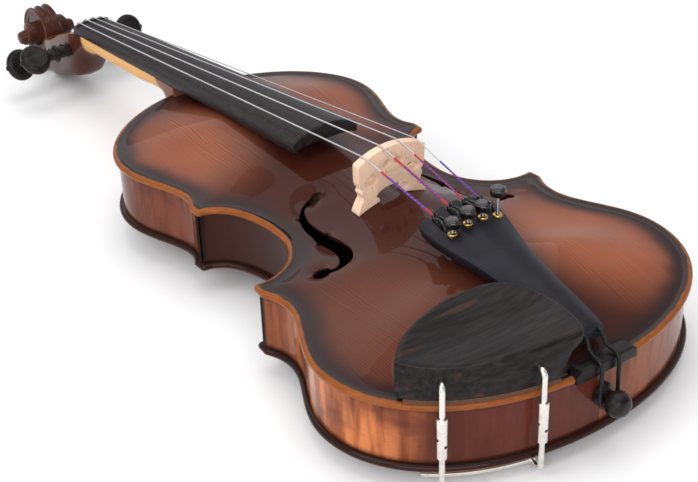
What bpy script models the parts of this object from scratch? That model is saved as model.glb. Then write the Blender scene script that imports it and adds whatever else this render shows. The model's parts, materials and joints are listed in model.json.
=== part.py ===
"""A full-size violin lying on its back, strung, with a clamped chinrest.

Every piece is drawn in the violin's own frame, in millimetres: x runs to the
treble side, y from the bottom edge of the belly towards the scroll, and z up
from the top of the belly's edge. An empty then lays the whole violin down on
the floor, where the back's arch and the scroll both touch it.
"""

import math

import bmesh
import bpy
from mathutils import Vector
from mathutils.geometry import delaunay_2d_cdt

MM = 0.001
GAP = 0.3  # glued and resting faces stay this far apart
BASS, TREBLE = -1, 1
SIDES = {"bass": BASS, "treble": TREBLE}
STRING_NAMES = ("g", "d", "a", "e")

# Body
BODY_LENGTH = 356.0
LOWER_BOUT = (104.0, 72.0)
LOWER_CORNER = (91.3, 146.8)
WAIST = (53.0, 184.0)
UPPER_CORNER = (77.1, 229.5)
UPPER_BOUT = (83.0, 292.0)
EDGE = 4.0
ARCH = 14.5
BACK_ARCH = 11.0
PLATE = 3.2
CHANNEL = 4.0
RIB_HEIGHT = 30.0
RIB_INSET = 2.8
RIB_THICK = 1.2
RIB_LAP = 2.1  # how far a bout's rib runs over the end of the waist's at a corner
LINING_THICK = 2.0
LINING_DEEP = 7.0
BLOCK_TIP = 7.0  # a corner block's nose stays this far from the corner
BLOCK_REACH = 17.0
SADDLE_HALF_WIDTH = 18.2
SADDLE_DEEP = 7.2
SADDLE_TOP = 2.2
BACK_TOP = -EDGE - RIB_HEIGHT
BACK_BOTTOM = BACK_TOP - EDGE
BUTTON_RADIUS = 11.0
BUTTON_END = 367.0
PLATE_GRID = 13.0

BASS_BAR_SPAN = (52.0, 318.0)
BASS_BAR_X = -16.5
BASS_BAR_HALF_WIDTH = 2.75
SOUND_POST_PLACE = (18.5, 151.0)

# f-holes
UPPER_EYE = (24.3, 189.9)
UPPER_EYE_RADIUS = 3.3
LOWER_EYE = (58.6, 135.5)
LOWER_EYE_RADIUS = 4.7

# Neck, fingerboard and head
NECK_ROOT = 350.0
NECK_ROOT_HALF_WIDTH = 16.4
NECK_PLANE_Z = 5.2  # height of the neck's top over the belly's edge at the body's end
NECK_SLOPE = 0.1092
NUT_Y = 486.0
NUT_WIDTH = 24.0
BOARD_END_Y = 214.0
BOARD_END_WIDTH = 42.4
BOARD_EDGE = 5.0
BOARD_RADIUS = 42.0
SCROLL_EYE = (566.0, -37.0)
SCROLL_HALF_WIDTH = 21.0
PEG_PLACES = {  # side, y and z of each peg's axis
    "g": (BASS, 500.0, -24.0),
    "e": (TREBLE, 512.5, -28.5),
    "d": (BASS, 527.0, -37.5),
    "a": (TREBLE, 539.0, -42.0),
}
PEG_RADIUS = 3.7
PEG_BORE = 4.15
PEG_HEAD = (9.8, 11.0, 5.4)  # half sizes along the peg, across it and through the flat head
PEG_HEAD_AT = 38.5
PEG_TURN = {"g": 35.0, "d": 62.0, "a": 20.0, "e": 75.0}

# Strings and bridge
STRING_RADIUS = {"g": 0.42, "d": 0.45, "a": 0.36, "e": 0.30}
BRIDGE_Y = 160.0
BRIDGE_STRING_X = {"g": -16.0, "d": -5.4, "a": 5.4, "e": 16.0}
BRIDGE_STRING_Z = {"g": 41.0, "d": 43.7, "a": 43.7, "e": 41.0}
NUT_STRING_X = {"g": -8.25, "d": -2.75, "a": 2.75, "e": 8.25}
BRIDGE_HALF_WIDTH = 20.7
BRIDGE_FRONT_Y = 155.6
BRIDGE_FOOT_THICK = 6.4
BRIDGE_TOP_THICK = 4.8

# Tailpiece and its fine tuners
TAIL_TOP_Y = 109.0
TAIL_END_Y = 11.0
TUNER_X = {"g": -13.8, "d": -4.6, "a": 4.6, "e": 13.8}
SCREW_Y = 91.0
FORK_Y = 103.0
PIVOT_Y = 99.0
STRING_END_AHEAD = 2.6  # a string stops this far ahead of its fork, which swings up past it
E_SCREW_EXTRA = 7.0
TUNER_HEAD_RADIUS = 3.9
TUNER_HEAD_TALL = 4.6
TUNER_SCREW_RADIUS = 0.95
SCREW_REACH = 2.2  # how far a tuner screw stands out under the tailpiece

ENDPIN_Z = -17.5
ENDPIN_SHANK = 3.6
ENDPIN_BORE = 4.0
TAILGUT_RADIUS = 1.05
TAILGUT_APART = 4.6  # half the distance between the two holes in the tailpiece's end

# Chinrest and its clamp
REST_FLOOR = 2.4
REST_TOP = 22.6
REST_THICK = 4.6
CLAMP_PLACES = {"outer": (-78.7, 18.3), "inner": (-37.4, 0.1)}
ROD_RADIUS = 1.45
BARREL_RADIUS = 2.6
BARREL_TOP = -3.0
BARREL_BOTTOM = -25.0

REST_PITCH = math.radians(1.8)


# ---------------------------------------------------------------- helpers

def material(name, colour, roughness, metallic=0.0):
    made = bpy.data.materials.get(name)
    if made is None:
        made = bpy.data.materials.new(name)
        made.use_nodes = True
        shader = made.node_tree.nodes["Principled BSDF"]
        shader.inputs["Base Color"].default_value = (*colour, 1.0)
        shader.inputs["Roughness"].default_value = roughness
        shader.inputs["Metallic"].default_value = metallic
        made.diffuse_color = (*colour, 1.0)
    return made


def belly_varnish():
    return material("belly_varnish", (0.16, 0.05, 0.02), 0.15)


def maple_varnish():
    return material("maple_varnish", (0.20, 0.06, 0.02), 0.15)


def bare_maple():
    return material("bare_maple", (0.72, 0.40, 0.17), 0.45)


def bridge_maple():
    return material("bridge_maple", (0.82, 0.66, 0.45), 0.6)


def spruce():
    return material("spruce", (0.74, 0.56, 0.34), 0.7)


def ebony():
    return material("ebony", (0.045, 0.04, 0.042), 0.4)


def black_plastic():
    return material("black_plastic", (0.03, 0.032, 0.036), 0.35)


def nickel():
    return material("nickel", (0.75, 0.73, 0.68), 0.2, 1.0)


def brass():
    return material("brass", (0.75, 0.55, 0.22), 0.25, 1.0)


def string_steel():
    return material("string_steel", (0.7, 0.7, 0.72), 0.25, 1.0)


def cork():
    return material("cork", (0.50, 0.32, 0.18), 0.9)


def tailgut_nylon():
    return material("tailgut_nylon", (0.02, 0.02, 0.02), 0.4)


def add_piece(name, shape, finish, pivot=(0.0, 0.0, 0.0), turn=0.0, helper=False):
    """Turns a bmesh in millimetres into an object of the violin whose origin is at pivot."""
    shape.normal_update()
    bmesh.ops.recalc_face_normals(shape, faces=shape.faces)
    bmesh.ops.translate(shape, verts=shape.verts, vec=-Vector(pivot))
    bmesh.ops.scale(shape, verts=shape.verts, vec=(MM, MM, MM))
    mesh = bpy.data.meshes.new(name)
    shape.to_mesh(mesh)
    shape.free()
    mesh.shade_smooth()
    mesh.set_sharp_from_angle(angle=math.radians(35.0))
    piece = bpy.data.objects.new(name, mesh)
    bpy.context.scene.collection.objects.link(piece)
    piece.location = Vector(pivot) * MM
    piece.rotation_euler = (turn, 0.0, 0.0)
    if finish is not None:
        mesh.materials.append(finish)
    if helper:
        piece.hide_render = True
        piece.display_type = "WIRE"
    return piece


def boolean(piece, cutter, operation):
    step = piece.modifiers.new(cutter.name, "BOOLEAN")
    step.operation = operation
    step.solver = "EXACT"
    step.object = cutter


def bezier(start, out, into, end, steps):
    """Points of a cubic curve after its start, up to its end."""
    points = []
    for i in range(1, steps + 1):
        t = i / steps
        u = 1.0 - t
        points.append(
            tuple(
                u**3 * a + 3 * u * u * t * b + 3 * u * t * t * c + t**3 * d
                for a, b, c, d in zip(start, out, into, end)
            )
        )
    return points


def arc(centre, radius, first, last, steps):
    """Points of an arc between two angles in degrees, both ends included."""
    angles = [math.radians(first + (last - first) * i / steps) for i in range(steps + 1)]
    return [(centre[0] + radius * math.cos(a), centre[1] + radius * math.sin(a)) for a in angles]


def mix(a, b, t):
    return a + (b - a) * t


def smooth(low, high, value):
    t = min(max((value - low) / (high - low), 0.0), 1.0)
    return t * t * (3.0 - 2.0 * t)


def curve_at(stations, y):
    """Linear reading of a list of (y, value...) rows, ordered by y."""
    if y <= stations[0][0]:
        return stations[0][1:]
    for low, high in zip(stations, stations[1:]):
        if y <= high[0]:
            t = (y - low[0]) / (high[0] - low[0])
            return tuple(mix(a, b, t) for a, b in zip(low[1:], high[1:]))
    return stations[-1][1:]


def mirrored(points):
    return [(-x, y) for x, y in reversed(points)]


def loft(sections, closed=True):
    """A solid through rings that all have the same number of points."""
    shape = bmesh.new()
    rings = [[shape.verts.new(point) for point in ring] for ring in sections]
    count = len(rings[0])
    for low, high in zip(rings, rings[1:]):
        for i in range(count):
            j = (i + 1) % count
            shape.faces.new((low[i], low[j], high[j], high[i]))
    if closed:
        shape.faces.new(list(reversed(rings[0])))
        shape.faces.new(rings[-1])
    return shape


def prism(outline, low, high, axis="z"):
    """An outline of (u, v) extruded between two levels. The axes are xy for z, yz for x, xz for y."""
    place = {
        "z": lambda u, v, w: (u, v, w),
        "x": lambda u, v, w: (w, u, v),
        "y": lambda u, v, w: (u, w, v),
    }[axis]
    return loft([[place(u, v, level) for u, v in outline] for level in (low, high)])


def turned_rings(profile, sides, axis, centre):
    place = {
        "x": lambda t, a, b: (t, a, b),
        "y": lambda t, a, b: (b, t, a),
        "z": lambda t, a, b: (a, b, t),
    }[axis]
    rings = []
    for along, radius in profile:
        ring = []
        for i in range(sides):
            angle = 2.0 * math.pi * (i + 0.5) / sides
            point = place(along, radius * math.cos(angle), radius * math.sin(angle))
            ring.append(tuple(a + b for a, b in zip(point, centre)))
        rings.append(ring)
    return rings


def turned(profile, sides, axis, centre=(0.0, 0.0, 0.0)):
    """A solid of revolution. profile is (distance along axis, radius), radius above 0."""
    return loft(turned_rings(profile, sides, axis, centre))


def turned_hollow(profile, sides, axis, centre):
    """A ring of revolution, open along its axis, from a closed profile."""
    rings = turned_rings(profile, sides, axis, centre)
    shape = loft(rings + rings[:1], closed=False)
    bmesh.ops.remove_doubles(shape, verts=shape.verts, dist=1e-5)
    return shape


def tube(points, radius, sides):
    """A round solid along a path, with flat ends."""
    path = [Vector(point) for point in points]
    rings = []
    side = None
    for i, point in enumerate(path):
        ahead = path[min(i + 1, len(path) - 1)] - path[max(i - 1, 0)]
        ahead.normalize()
        if side is None:
            side = ahead.cross(Vector((0.0, 0.0, 1.0)))
            if side.length < 0.2:
                side = ahead.cross(Vector((1.0, 0.0, 0.0)))
        side = (side - ahead * side.dot(ahead)).normalized()
        up = side.cross(ahead)
        ring = []
        for k in range(sides):
            angle = 2.0 * math.pi * k / sides
            ring.append(tuple(point + (side * math.cos(angle) + up * math.sin(angle)) * radius))
        rings.append(ring)
    return loft(rings)


def box(low, high):
    outline = [(low[0], low[1]), (high[0], low[1]), (high[0], high[1]), (low[0], high[1])]
    return prism(outline, low[2], high[2])


# ---------------------------------------------------------------- outline

def half_segments(steps=6):
    """The treble half of the plate's outline, as stretches that meet at the corners."""
    lower_x, lower_y = LOWER_CORNER
    upper_x, upper_y = UPPER_CORNER
    lower_tip = (lower_x - 1.5, lower_y - 4.0), (lower_x - 2.2, lower_y + 4.2)
    upper_tip = (upper_x - 2.0, upper_y - 4.0), (upper_x - 1.8, upper_y + 4.0)
    bout, top = LOWER_BOUT, UPPER_BOUT
    lower = [(0.0, 0.0)]
    lower += bezier((0.0, 0.0), (60.0, 0.0), (bout[0], bout[1] - 42.0), bout, steps + 2)
    into_corner = (lower_x - 16.0, lower_y - 30.0)
    lower += bezier(bout, (bout[0], bout[1] + 30.0), into_corner, lower_tip[0], steps)
    waist = [lower_tip[1]]
    below, above = (WAIST[0], WAIST[1] - 20.0), (WAIST[0], WAIST[1] + 20.0)
    waist += bezier(lower_tip[1], (lower_x - 21.0, lower_y + 0.5), below, WAIST, steps)
    waist += bezier(WAIST, above, (upper_x - 18.0, upper_y - 4.0), upper_tip[0], steps)
    upper = [upper_tip[1]]
    upper += bezier(upper_tip[1], (upper_x - 13.0, upper_y + 20.0), (top[0], top[1] - 24.0), top, steps)
    upper += bezier(top, (top[0], top[1] + 33.0), (44.0, BODY_LENGTH), (0.0, BODY_LENGTH), steps + 1)
    return lower, waist, upper


def treble_outline():
    lower, waist, upper = half_segments()
    return lower + waist + upper


def inset(points, distance):
    """A stretch of the treble outline moved into the body."""
    moved = []
    for i, (x, y) in enumerate(points):
        before = points[max(i - 1, 0)]
        after = points[min(i + 1, len(points) - 1)]
        along = Vector((after[0] - before[0], after[1] - before[1])).normalized()
        moved.append((x - along.y * distance, y + along.x * distance))
    return moved


def full_outline(treble):
    """Both halves from a treble half that starts and ends on the centre line."""
    return treble + mirrored(treble)[1:-1]


def notched(treble, half_width, level, at_top):
    """The treble half with a square notch on the centre line, half_width wide and reaching level."""
    kept = [p for p in treble if p[0] > half_width + 1.0 or (p[1] < BODY_LENGTH / 2) == at_top]
    ordered = list(reversed(treble)) if at_top else treble
    spans = zip(ordered, ordered[1:])
    inner, outer = next(span for span in spans if span[0][0] <= half_width <= span[1][0])
    t = (half_width - inner[0]) / (outer[0] - inner[0])
    notch = [(0.0, level), (half_width, level), (half_width, mix(inner[1], outer[1], t))]
    return kept + list(reversed(notch)) if at_top else notch + kept


def distance_to_edge(x, y, edge):
    """Distance in the plane from a point to the outline."""
    best = 1e9
    for (ax, ay), (bx, by) in zip(edge, edge[1:]):
        dx, dy = bx - ax, by - ay
        t = ((x - ax) * dx + (y - ay) * dy) / (dx * dx + dy * dy)
        t = min(max(t, 0.0), 1.0)
        best = min(best, math.hypot(x - ax - t * dx, y - ay - t * dy))
    return best


EDGE_LINE = treble_outline()


def arch(x, y, crown):
    """Height of an arched plate over its edge: a flat channel, then a bell-shaped rise."""
    spine = min(max(y, 4.0), BODY_LENGTH - 4.0)
    across = distance_to_edge(abs(x), y, EDGE_LINE)
    widest = distance_to_edge(0.0, spine, EDGE_LINE)
    reach = max(widest - CHANNEL, 1.0)
    share = min(max((across - CHANNEL) / reach, 0.0), 1.0)
    end = min(max(min(spine, BODY_LENGTH - spine) - CHANNEL, 0.0) / 96.0, 1.0)
    ridge = crown * math.sin(math.pi / 2 * end) ** 1.2
    return ridge * math.sin(math.pi / 2 * share) ** 2


def belly_top(x, y):
    return arch(x, y, ARCH)


def hollow(x, y, crown):
    """How far the inside of a plate stands off its flat glued edge."""
    across = distance_to_edge(abs(x), y, EDGE_LINE)
    inside = smooth(9.0, 17.0, across)
    return inside * max(arch(x, y, crown) + EDGE - PLATE, 0.0)


def belly_under(x, y):
    return -EDGE + hollow(x, y, ARCH)


def back_under(x, y):
    return BACK_BOTTOM - arch(x, y, BACK_ARCH)


def back_inside(x, y):
    return BACK_TOP - hollow(x, y, BACK_ARCH)


def inside_polygon(x, y, outline):
    """Whether a point lies in a polygon, by crossings."""
    found = False
    for (ax, ay), (bx, by) in zip(outline, outline[1:] + outline[:1]):
        if (ay > y) != (by > y) and x < (bx - ax) * (y - ay) / (by - ay) + ax:
            found = not found
    return found


def near_line(x, y, outline, distance):
    closed = outline + outline[:1]
    return distance_to_edge(x, y, closed) < distance


def plate(outline, holes, grid, top, under, place=None):
    """A thin solid over an outline with holes, its two faces given as heights over the plane."""
    points = []
    edges = []
    for loop in (outline, *holes):
        first = len(points)
        points += [Vector(p) for p in loop]
        edges += [(first + i, first + (i + 1) % len(loop)) for i in range(len(loop))]
    xs = [p[0] for p in outline]
    ys = [p[1] for p in outline]
    row = 0
    y = min(ys) + grid / 2
    while y < max(ys):
        x = min(xs) + (grid / 2 if row % 2 else 0.0)
        while x < max(xs):
            clear = not near_line(x, y, outline, grid * 0.45)
            clear = clear and not any(near_line(x, y, hole, grid * 0.4) for hole in holes)
            if clear and inside_polygon(x, y, outline) and not any(inside_polygon(x, y, h) for h in holes):
                points.append(Vector((x, y)))
            x += grid
        y += grid * 0.866
        row += 1
    verts, _, faces, _, _, _ = delaunay_2d_cdt(points, edges, [], 0, 1e-4)
    kept = []
    for face in faces:
        cx = sum(verts[i].x for i in face) / len(face)
        cy = sum(verts[i].y for i in face) / len(face)
        if inside_polygon(cx, cy, outline) and not any(inside_polygon(cx, cy, h) for h in holes):
            kept.append(face)
    place = place or (lambda x, y, z: (x, y, z))
    shape = bmesh.new()
    used = sorted({i for face in kept for i in face})
    high = {i: shape.verts.new(place(verts[i].x, verts[i].y, top(verts[i].x, verts[i].y))) for i in used}
    low = {i: shape.verts.new(place(verts[i].x, verts[i].y, under(verts[i].x, verts[i].y))) for i in used}
    borders = {}
    for face in kept:
        shape.faces.new([high[i] for i in face])
        shape.faces.new([low[i] for i in reversed(face)])
        for a, b in zip(face, face[1:] + face[:1]):
            borders[(a, b)] = True
    for a, b in borders:
        if (b, a) not in borders:
            shape.faces.new((high[b], high[a], low[a], low[b]))
    return shape


# ---------------------------------------------------------------- body

def f_hole(side):
    """The slot between its two round eyes, with the nicks at the bridge line."""
    ux, uy = UPPER_EYE
    lx, ly = LOWER_EYE
    points = arc(UPPER_EYE, UPPER_EYE_RADIUS, 60.0, 340.0, 7)
    points += bezier(points[-1], (ux + 8.5, uy + 0.2), (ux + 12.4, uy - 4.5), (37.6, 172.0), 4)
    points += [(37.7, 163.4), (36.3, 161.6), (37.8, 159.8), (37.4, 148.0)]
    points += bezier(points[-1], (37.6, 134.5), (43.0, 125.5), (lx - 2.0, ly - 4.4), 5)
    points += arc(LOWER_EYE, LOWER_EYE_RADIUS, 265.0, 548.0, 8)
    points += bezier(points[-1], (lx - 9.5, ly - 3.0), (lx - 14.5, ly + 2.5), (43.0, 150.0), 4)
    points += [(43.3, 158.2), (44.8, 160.0), (43.4, 161.8)]
    points += bezier(points[-1], (43.4, 180.0), (37.0, 192.8), (ux + 1.65, uy + 2.86), 5)[:-1]
    return points if side == TREBLE else mirrored(points)


def make_belly():
    treble = notched(treble_outline(), SADDLE_HALF_WIDTH + 0.4, SADDLE_DEEP + 0.4, at_top=False)
    treble = notched(treble, NECK_ROOT_HALF_WIDTH + 0.5, NECK_ROOT - GAP, at_top=True)
    outline = full_outline(treble)
    holes = [f_hole(side) for side in SIDES.values()]
    add_piece("belly", plate(outline, holes, PLATE_GRID, belly_top, belly_under), belly_varnish())


def make_back():
    treble = [p for p in treble_outline() if p[0] > BUTTON_RADIUS + 1.5 or p[1] < BODY_LENGTH / 2]
    centre = (0.0, BUTTON_END - BUTTON_RADIUS)
    treble += [(BUTTON_RADIUS + 0.6, BODY_LENGTH - 0.6)]
    treble += arc(centre, BUTTON_RADIUS, 18.0, 90.0, 4)
    outline = full_outline(treble)
    add_piece("back", plate(outline, [], PLATE_GRID, back_inside, back_under), maple_varnish())


def strip(outer, thickness):
    """A band inside a stretch of points, its outer side on them."""
    return outer + list(reversed(inset(outer, thickness)))


def run_length(points):
    return sum(math.dist(a, b) for a, b in zip(points, points[1:]))


def trimmed(points, start, end):
    """A stretch without its first start and last end millimetres."""
    for amount in (start, end):
        while amount > 0.0:
            first, second = points[0], points[1]
            length = math.dist(first, second)
            if length > amount:
                t = amount / length
                points = [(mix(first[0], second[0], t), mix(first[1], second[1], t))] + points[1:]
                break
            amount -= length
            points = points[1:]
        points = list(reversed(points))
    return points


def lengthened(points, extra):
    """A stretch that runs straight on past its last point."""
    (ax, ay), (bx, by) = points[-2:]
    t = extra / math.dist(points[-2], points[-1])
    return points[:-1] + [(bx + (bx - ax) * t, by + (by - ay) * t)]


def rib_stretches():
    """Outer faces of the treble ribs. The bouts' ribs lap over the ends of the waist's at the corners."""
    lower, waist, upper = (inset(points, RIB_INSET) for points in half_segments())
    heel = [p for p in upper if p[0] > 18.2]
    below, above = heel[-1], upper[len(heel)]
    t = (below[0] - 17.3) / (below[0] - above[0])
    heel.append((17.3, mix(below[1], above[1], t)))
    return {
        "lower": lengthened([(0.2, RIB_INSET)] + lower[1:], RIB_LAP),
        "waist": trimmed(waist, 2.4, 2.4),
        "upper": list(reversed(lengthened(list(reversed(heel)), RIB_LAP))),
    }


def make_endpin_bore():
    bore = turned([(-4.0, ENDPIN_BORE), (24.0, ENDPIN_BORE)], 16, "y", (0.0, 0.0, ENDPIN_Z))
    return add_piece("endpin_bore", bore, None, helper=True)


def make_ribs(endpin_bore):
    for bout, outer in rib_stretches().items():
        band = strip(outer, RIB_THICK)
        for side_name, side in SIDES.items():
            outline = band if side == TREBLE else mirrored(band)
            shape = prism(outline, BACK_TOP + GAP, -EDGE - GAP)
            rib = add_piece(f"rib_{bout}_{side_name}", shape, maple_varnish())
            if bout == "lower":
                boolean(rib, endpin_bore, "DIFFERENCE")


def inner_line(distance):
    """Lower, waist and upper stretches of the inside of the ribs."""
    return [inset(points, RIB_INSET + RIB_THICK + distance) for points in half_segments()]


def make_blocks(endpin_bore):
    lower, waist, upper = inner_line(GAP)
    for place, first, second in (("lower", lower, waist), ("upper", waist, upper)):
        one = trimmed(first, 0.0, BLOCK_TIP)[-3:]
        two = trimmed(second, BLOCK_TIP, 0.0)[:3]
        one = trimmed(one, run_length(one) - BLOCK_REACH, 0.0)
        two = trimmed(two, 0.0, run_length(two) - BLOCK_REACH)
        outline = one + two
        for side_name, side in SIDES.items():
            points = outline if side == TREBLE else mirrored(outline)
            shape = prism(points, BACK_TOP + GAP, -EDGE - GAP)
            add_piece(f"corner_block_{place}_{side_name}", shape, spruce())
    end = [p for p in lower if p[0] < 19.0] + [(20.0, lower[1][1]), (20.0, 20.0)]
    end = [(0.0, end[0][1])] + [p for p in end[1:] if p[0] >= 19.9]
    end_shape = prism(full_outline(end + [(0.0, 20.0)]), BACK_TOP + GAP, -EDGE - GAP)
    boolean(add_piece("end_block", end_shape, spruce()), endpin_bore, "DIFFERENCE")
    face = 332.0
    slot = NECK_ROOT - GAP
    cheek = [p for p in upper if 17.5 < p[0] < 26.0]
    neck = [(0.0, face), (26.0, face), (26.0, cheek[0][1] - 2.5), (17.3, cheek[0][1] - 1.0), (17.3, slot)]
    add_piece(
        "neck_block", prism(full_outline(neck + [(0.0, slot)]), BACK_TOP + GAP, -EDGE - GAP), spruce()
    )


def make_linings():
    lower, waist, upper = inner_line(GAP)
    reach = 27.0
    path = trimmed([p for p in lower if p[0] > 20.6], 0.0, reach)
    path += trimmed(waist, reach, reach)
    path += trimmed([p for p in upper if p[0] > 27.0], reach, 0.0)
    band = strip(path, LINING_THICK)
    levels = {
        "belly": (-EDGE - GAP - LINING_DEEP, -EDGE - GAP),
        "back": (BACK_TOP + GAP, BACK_TOP + GAP + LINING_DEEP),
    }
    for plate_name, (low, high) in levels.items():
        for side_name, side in SIDES.items():
            outline = band if side == TREBLE else mirrored(band)
            add_piece(f"lining_{plate_name}_{side_name}", prism(outline, low, high), spruce())


def make_bass_bar():
    first, last = BASS_BAR_SPAN
    half, centre_x = BASS_BAR_HALF_WIDTH, BASS_BAR_X
    sections = []
    for i in range(13):
        y = mix(first, last, i / 12)
        deep = mix(3.0, 11.0, math.sin(math.pi * i / 12) ** 0.8)
        tops = [belly_under(centre_x + side * half, y) - GAP - 0.5 for side in (-1, 1)]
        low = min(tops) - deep
        left, right = centre_x - half, centre_x + half
        sections.append([(left, y, low), (right, y, low), (right, y, tops[1]), (left, y, tops[0])])
    add_piece("bass_bar", loft(sections), spruce())


def make_sound_post():
    x, y = SOUND_POST_PLACE
    radius, sides = 3.0, 12
    rings = []
    for height, off in ((back_inside, 0.7), (belly_under, -0.7)):
        ring = []
        for i in range(sides):
            angle = 2.0 * math.pi * i / sides
            px, py = x + radius * math.cos(angle), y + radius * math.sin(angle)
            ring.append((px, py, height(px, py) + off))
        rings.append(ring)
    add_piece("sound_post", loft(rings), spruce())


# ---------------------------------------------------------------- neck

def neck_plane(y):
    """Height of the face that the fingerboard is glued to."""
    return NECK_PLANE_Z - NECK_SLOPE * (y - BODY_LENGTH)


def board_half_width(y):
    return mix(NUT_WIDTH / 2, BOARD_END_WIDTH / 2, (NUT_Y - y) / (NUT_Y - BOARD_END_Y))


def neck_stations():
    """Rows of y, half width at the top and at the bottom, top z, bottom z, and squareness."""
    foot = BACK_TOP + GAP
    rows = [
        (NECK_ROOT, NECK_ROOT_HALF_WIDTH, 10.6, neck_plane(NECK_ROOT), foot, 10.0),
        (BODY_LENGTH + 1.0, NECK_ROOT_HALF_WIDTH, 10.4, neck_plane(BODY_LENGTH), foot, 8.0),
        (BUTTON_END - 4.0, 16.1, 9.0, neck_plane(363.0), foot, 5.0),
        (BUTTON_END, 15.9, 7.4, neck_plane(367.0), foot + 3.5, 3.6),
        (370.0, 15.8, 8.5, neck_plane(370.0), -20.0, 2.8),
        (374.0, 15.5, 11.0, neck_plane(374.0), -14.0, 2.3),
        (380.0, 15.2, 13.0, neck_plane(380.0), -12.1, 2.1),
    ]
    for y, deep in ((400.0, 14.2), (430.0, 13.8), (460.0, 13.4), (478.0, 13.6)):
        half = board_half_width(y) - 0.2
        rows.append((y, half, half, neck_plane(y), neck_plane(y) - deep, 2.1))
    rows += [
        (484.0, 12.0, 11.8, neck_plane(484.0), -25.5, 2.3),
        (489.0, 12.3, 12.3, neck_plane(489.0), -33.0, 2.7),
        (493.0, 12.8, 12.6, neck_plane(493.0), -40.0, 3.2),
        (498.0, 13.3, 12.8, -11.8, -45.0, 4.0),
        (506.0, 13.3, 12.8, -14.8, -48.6, 5.0),
        (516.0, 12.8, 12.2, -19.2, -52.3, 6.0),
        (527.0, 12.0, 11.4, -25.5, -56.2, 6.0),
        (538.0, 11.0, 10.4, -31.0, -59.4, 6.0),
        (548.0, 9.8, 9.2, -33.5, -61.0, 6.0),
    ]
    return rows


def neck_section(row, steps=16):
    y, half_top, half_bottom, top, bottom, square = row
    ring = []
    for k in range(steps + 1):
        angle = math.pi * k / steps
        deep = abs(math.sin(angle)) ** (2.0 / square)
        across = math.copysign(abs(math.cos(angle)) ** (2.0 / square), math.cos(angle))
        half = mix(half_top, half_bottom, deep)
        ring.append((across * half, y, mix(top, bottom, deep)))
    return ring


def spiral_radius(turn):
    """Radius of the scroll's edge. turn is in degrees: -90 below, 0 in front, 90 on top."""
    rows = [(-100, 24.6), (-90, 24.5), (0, 22.3), (90, 18.0), (180, 15.4), (270, 12.6), (360, 11.0)]
    rows += [(450, 9.4), (540, 8.0), (630, 6.8), (720, 6.2)]
    return curve_at(rows, turn)[0]


def spiral(first, last, step=18):
    points = []
    turn = first
    while turn <= last:
        angle = math.radians(turn)
        radius = spiral_radius(turn)
        points.append(
            (SCROLL_EYE[0] + radius * math.cos(angle), SCROLL_EYE[1] + radius * math.sin(angle))
        )
        turn += step
    return points


def make_neck():
    neck = add_piece("neck", loft([neck_section(row) for row in neck_stations()]), maple_varnish())
    bare = bare_maple()
    neck.data.materials.append(bare)
    for face in neck.data.polygons:
        middle = face.center.y / MM
        if 378.0 < middle < 482.0:
            face.material_index = 1
    outer = spiral(-90, 180) + [(541.0, -38.0), (541.0, -58.0)]
    eye = [(-SCROLL_HALF_WIDTH, 5.6), (-14.0, 7.5), (14.0, 7.5), (SCROLL_HALF_WIDTH, 5.6)]
    turns = {
        "scroll_outer_turn": prism(outer, -7.5, 7.5, "x"),
        "scroll_second_turn": prism(spiral(180, 522), -13.5, 13.5, "x"),
        "scroll_eye": turned(eye, 14, "x", (0.0, *SCROLL_EYE)),
    }
    for name, shape in turns.items():
        boolean(neck, add_piece(name, shape, None, helper=True), "UNION")
    well = [(491.6, 4.0), (491.8, -12.0), (493.0, -24.0), (499.0, -33.0), (514.0, -43.0), (529.0, -50.5)]
    well += [(540.0, -54.0), (545.0, -50.0), (545.0, -36.0), (541.0, -20.0), (541.0, 4.0)]
    cavity = prism(well, -1.0, 1.0, "x")
    for corner in cavity.verts:
        corner.co.x *= mix(8.4, 6.2, (corner.co.y - 494.5) / 50.5)
    boolean(neck, add_piece("pegbox_well", cavity, None, helper=True), "DIFFERENCE")
    for name, (_, y, z) in PEG_PLACES.items():
        bore = turned([(-20.0, PEG_BORE), (20.0, PEG_BORE)], 16, "x", (0.0, y, z))
        boolean(neck, add_piece(f"peg_bore_{name}", bore, None, helper=True), "DIFFERENCE")


def board_section(y, lift=0.0):
    half = board_half_width(y)
    base = neck_plane(y) + GAP
    crown = base + BOARD_EDGE + BOARD_RADIUS - math.sqrt(BOARD_RADIUS**2 - half**2)
    scoop = 1.6 * smooth(350.0, 330.0, y)
    ring = [(half - 0.6, y, base), (half, y, base + 1.2)]
    for i in range(9):
        x = half * (1.0 - i / 4.0)
        ring.append((x, y, crown - BOARD_RADIUS + math.sqrt(BOARD_RADIUS**2 - x * x) + lift))
    ring += [(-half, y, base + 1.2), (-half + 0.6, y, base)]
    ring += [(-half * 0.5, y, base + scoop), (half * 0.5, y, base + scoop)]
    return ring


def make_fingerboard():
    places = [BOARD_END_Y, BOARD_END_Y + 1.6, 260.0, 330.0, 350.0, 420.0, NUT_Y - GAP]
    sections = [board_section(y) for y in places]
    sections[0] = [(x * 0.97, y, z - 1.4 if z > neck_plane(y) + 3.0 else z) for x, y, z in sections[0]]
    add_piece("fingerboard", loft(sections), ebony())


def nut_crown(x):
    half = NUT_WIDTH / 2
    edge = neck_plane(NUT_Y) + BOARD_EDGE + 0.6
    return edge + math.sqrt(BOARD_RADIUS**2 - x * x) - math.sqrt(BOARD_RADIUS**2 - half**2)


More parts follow.
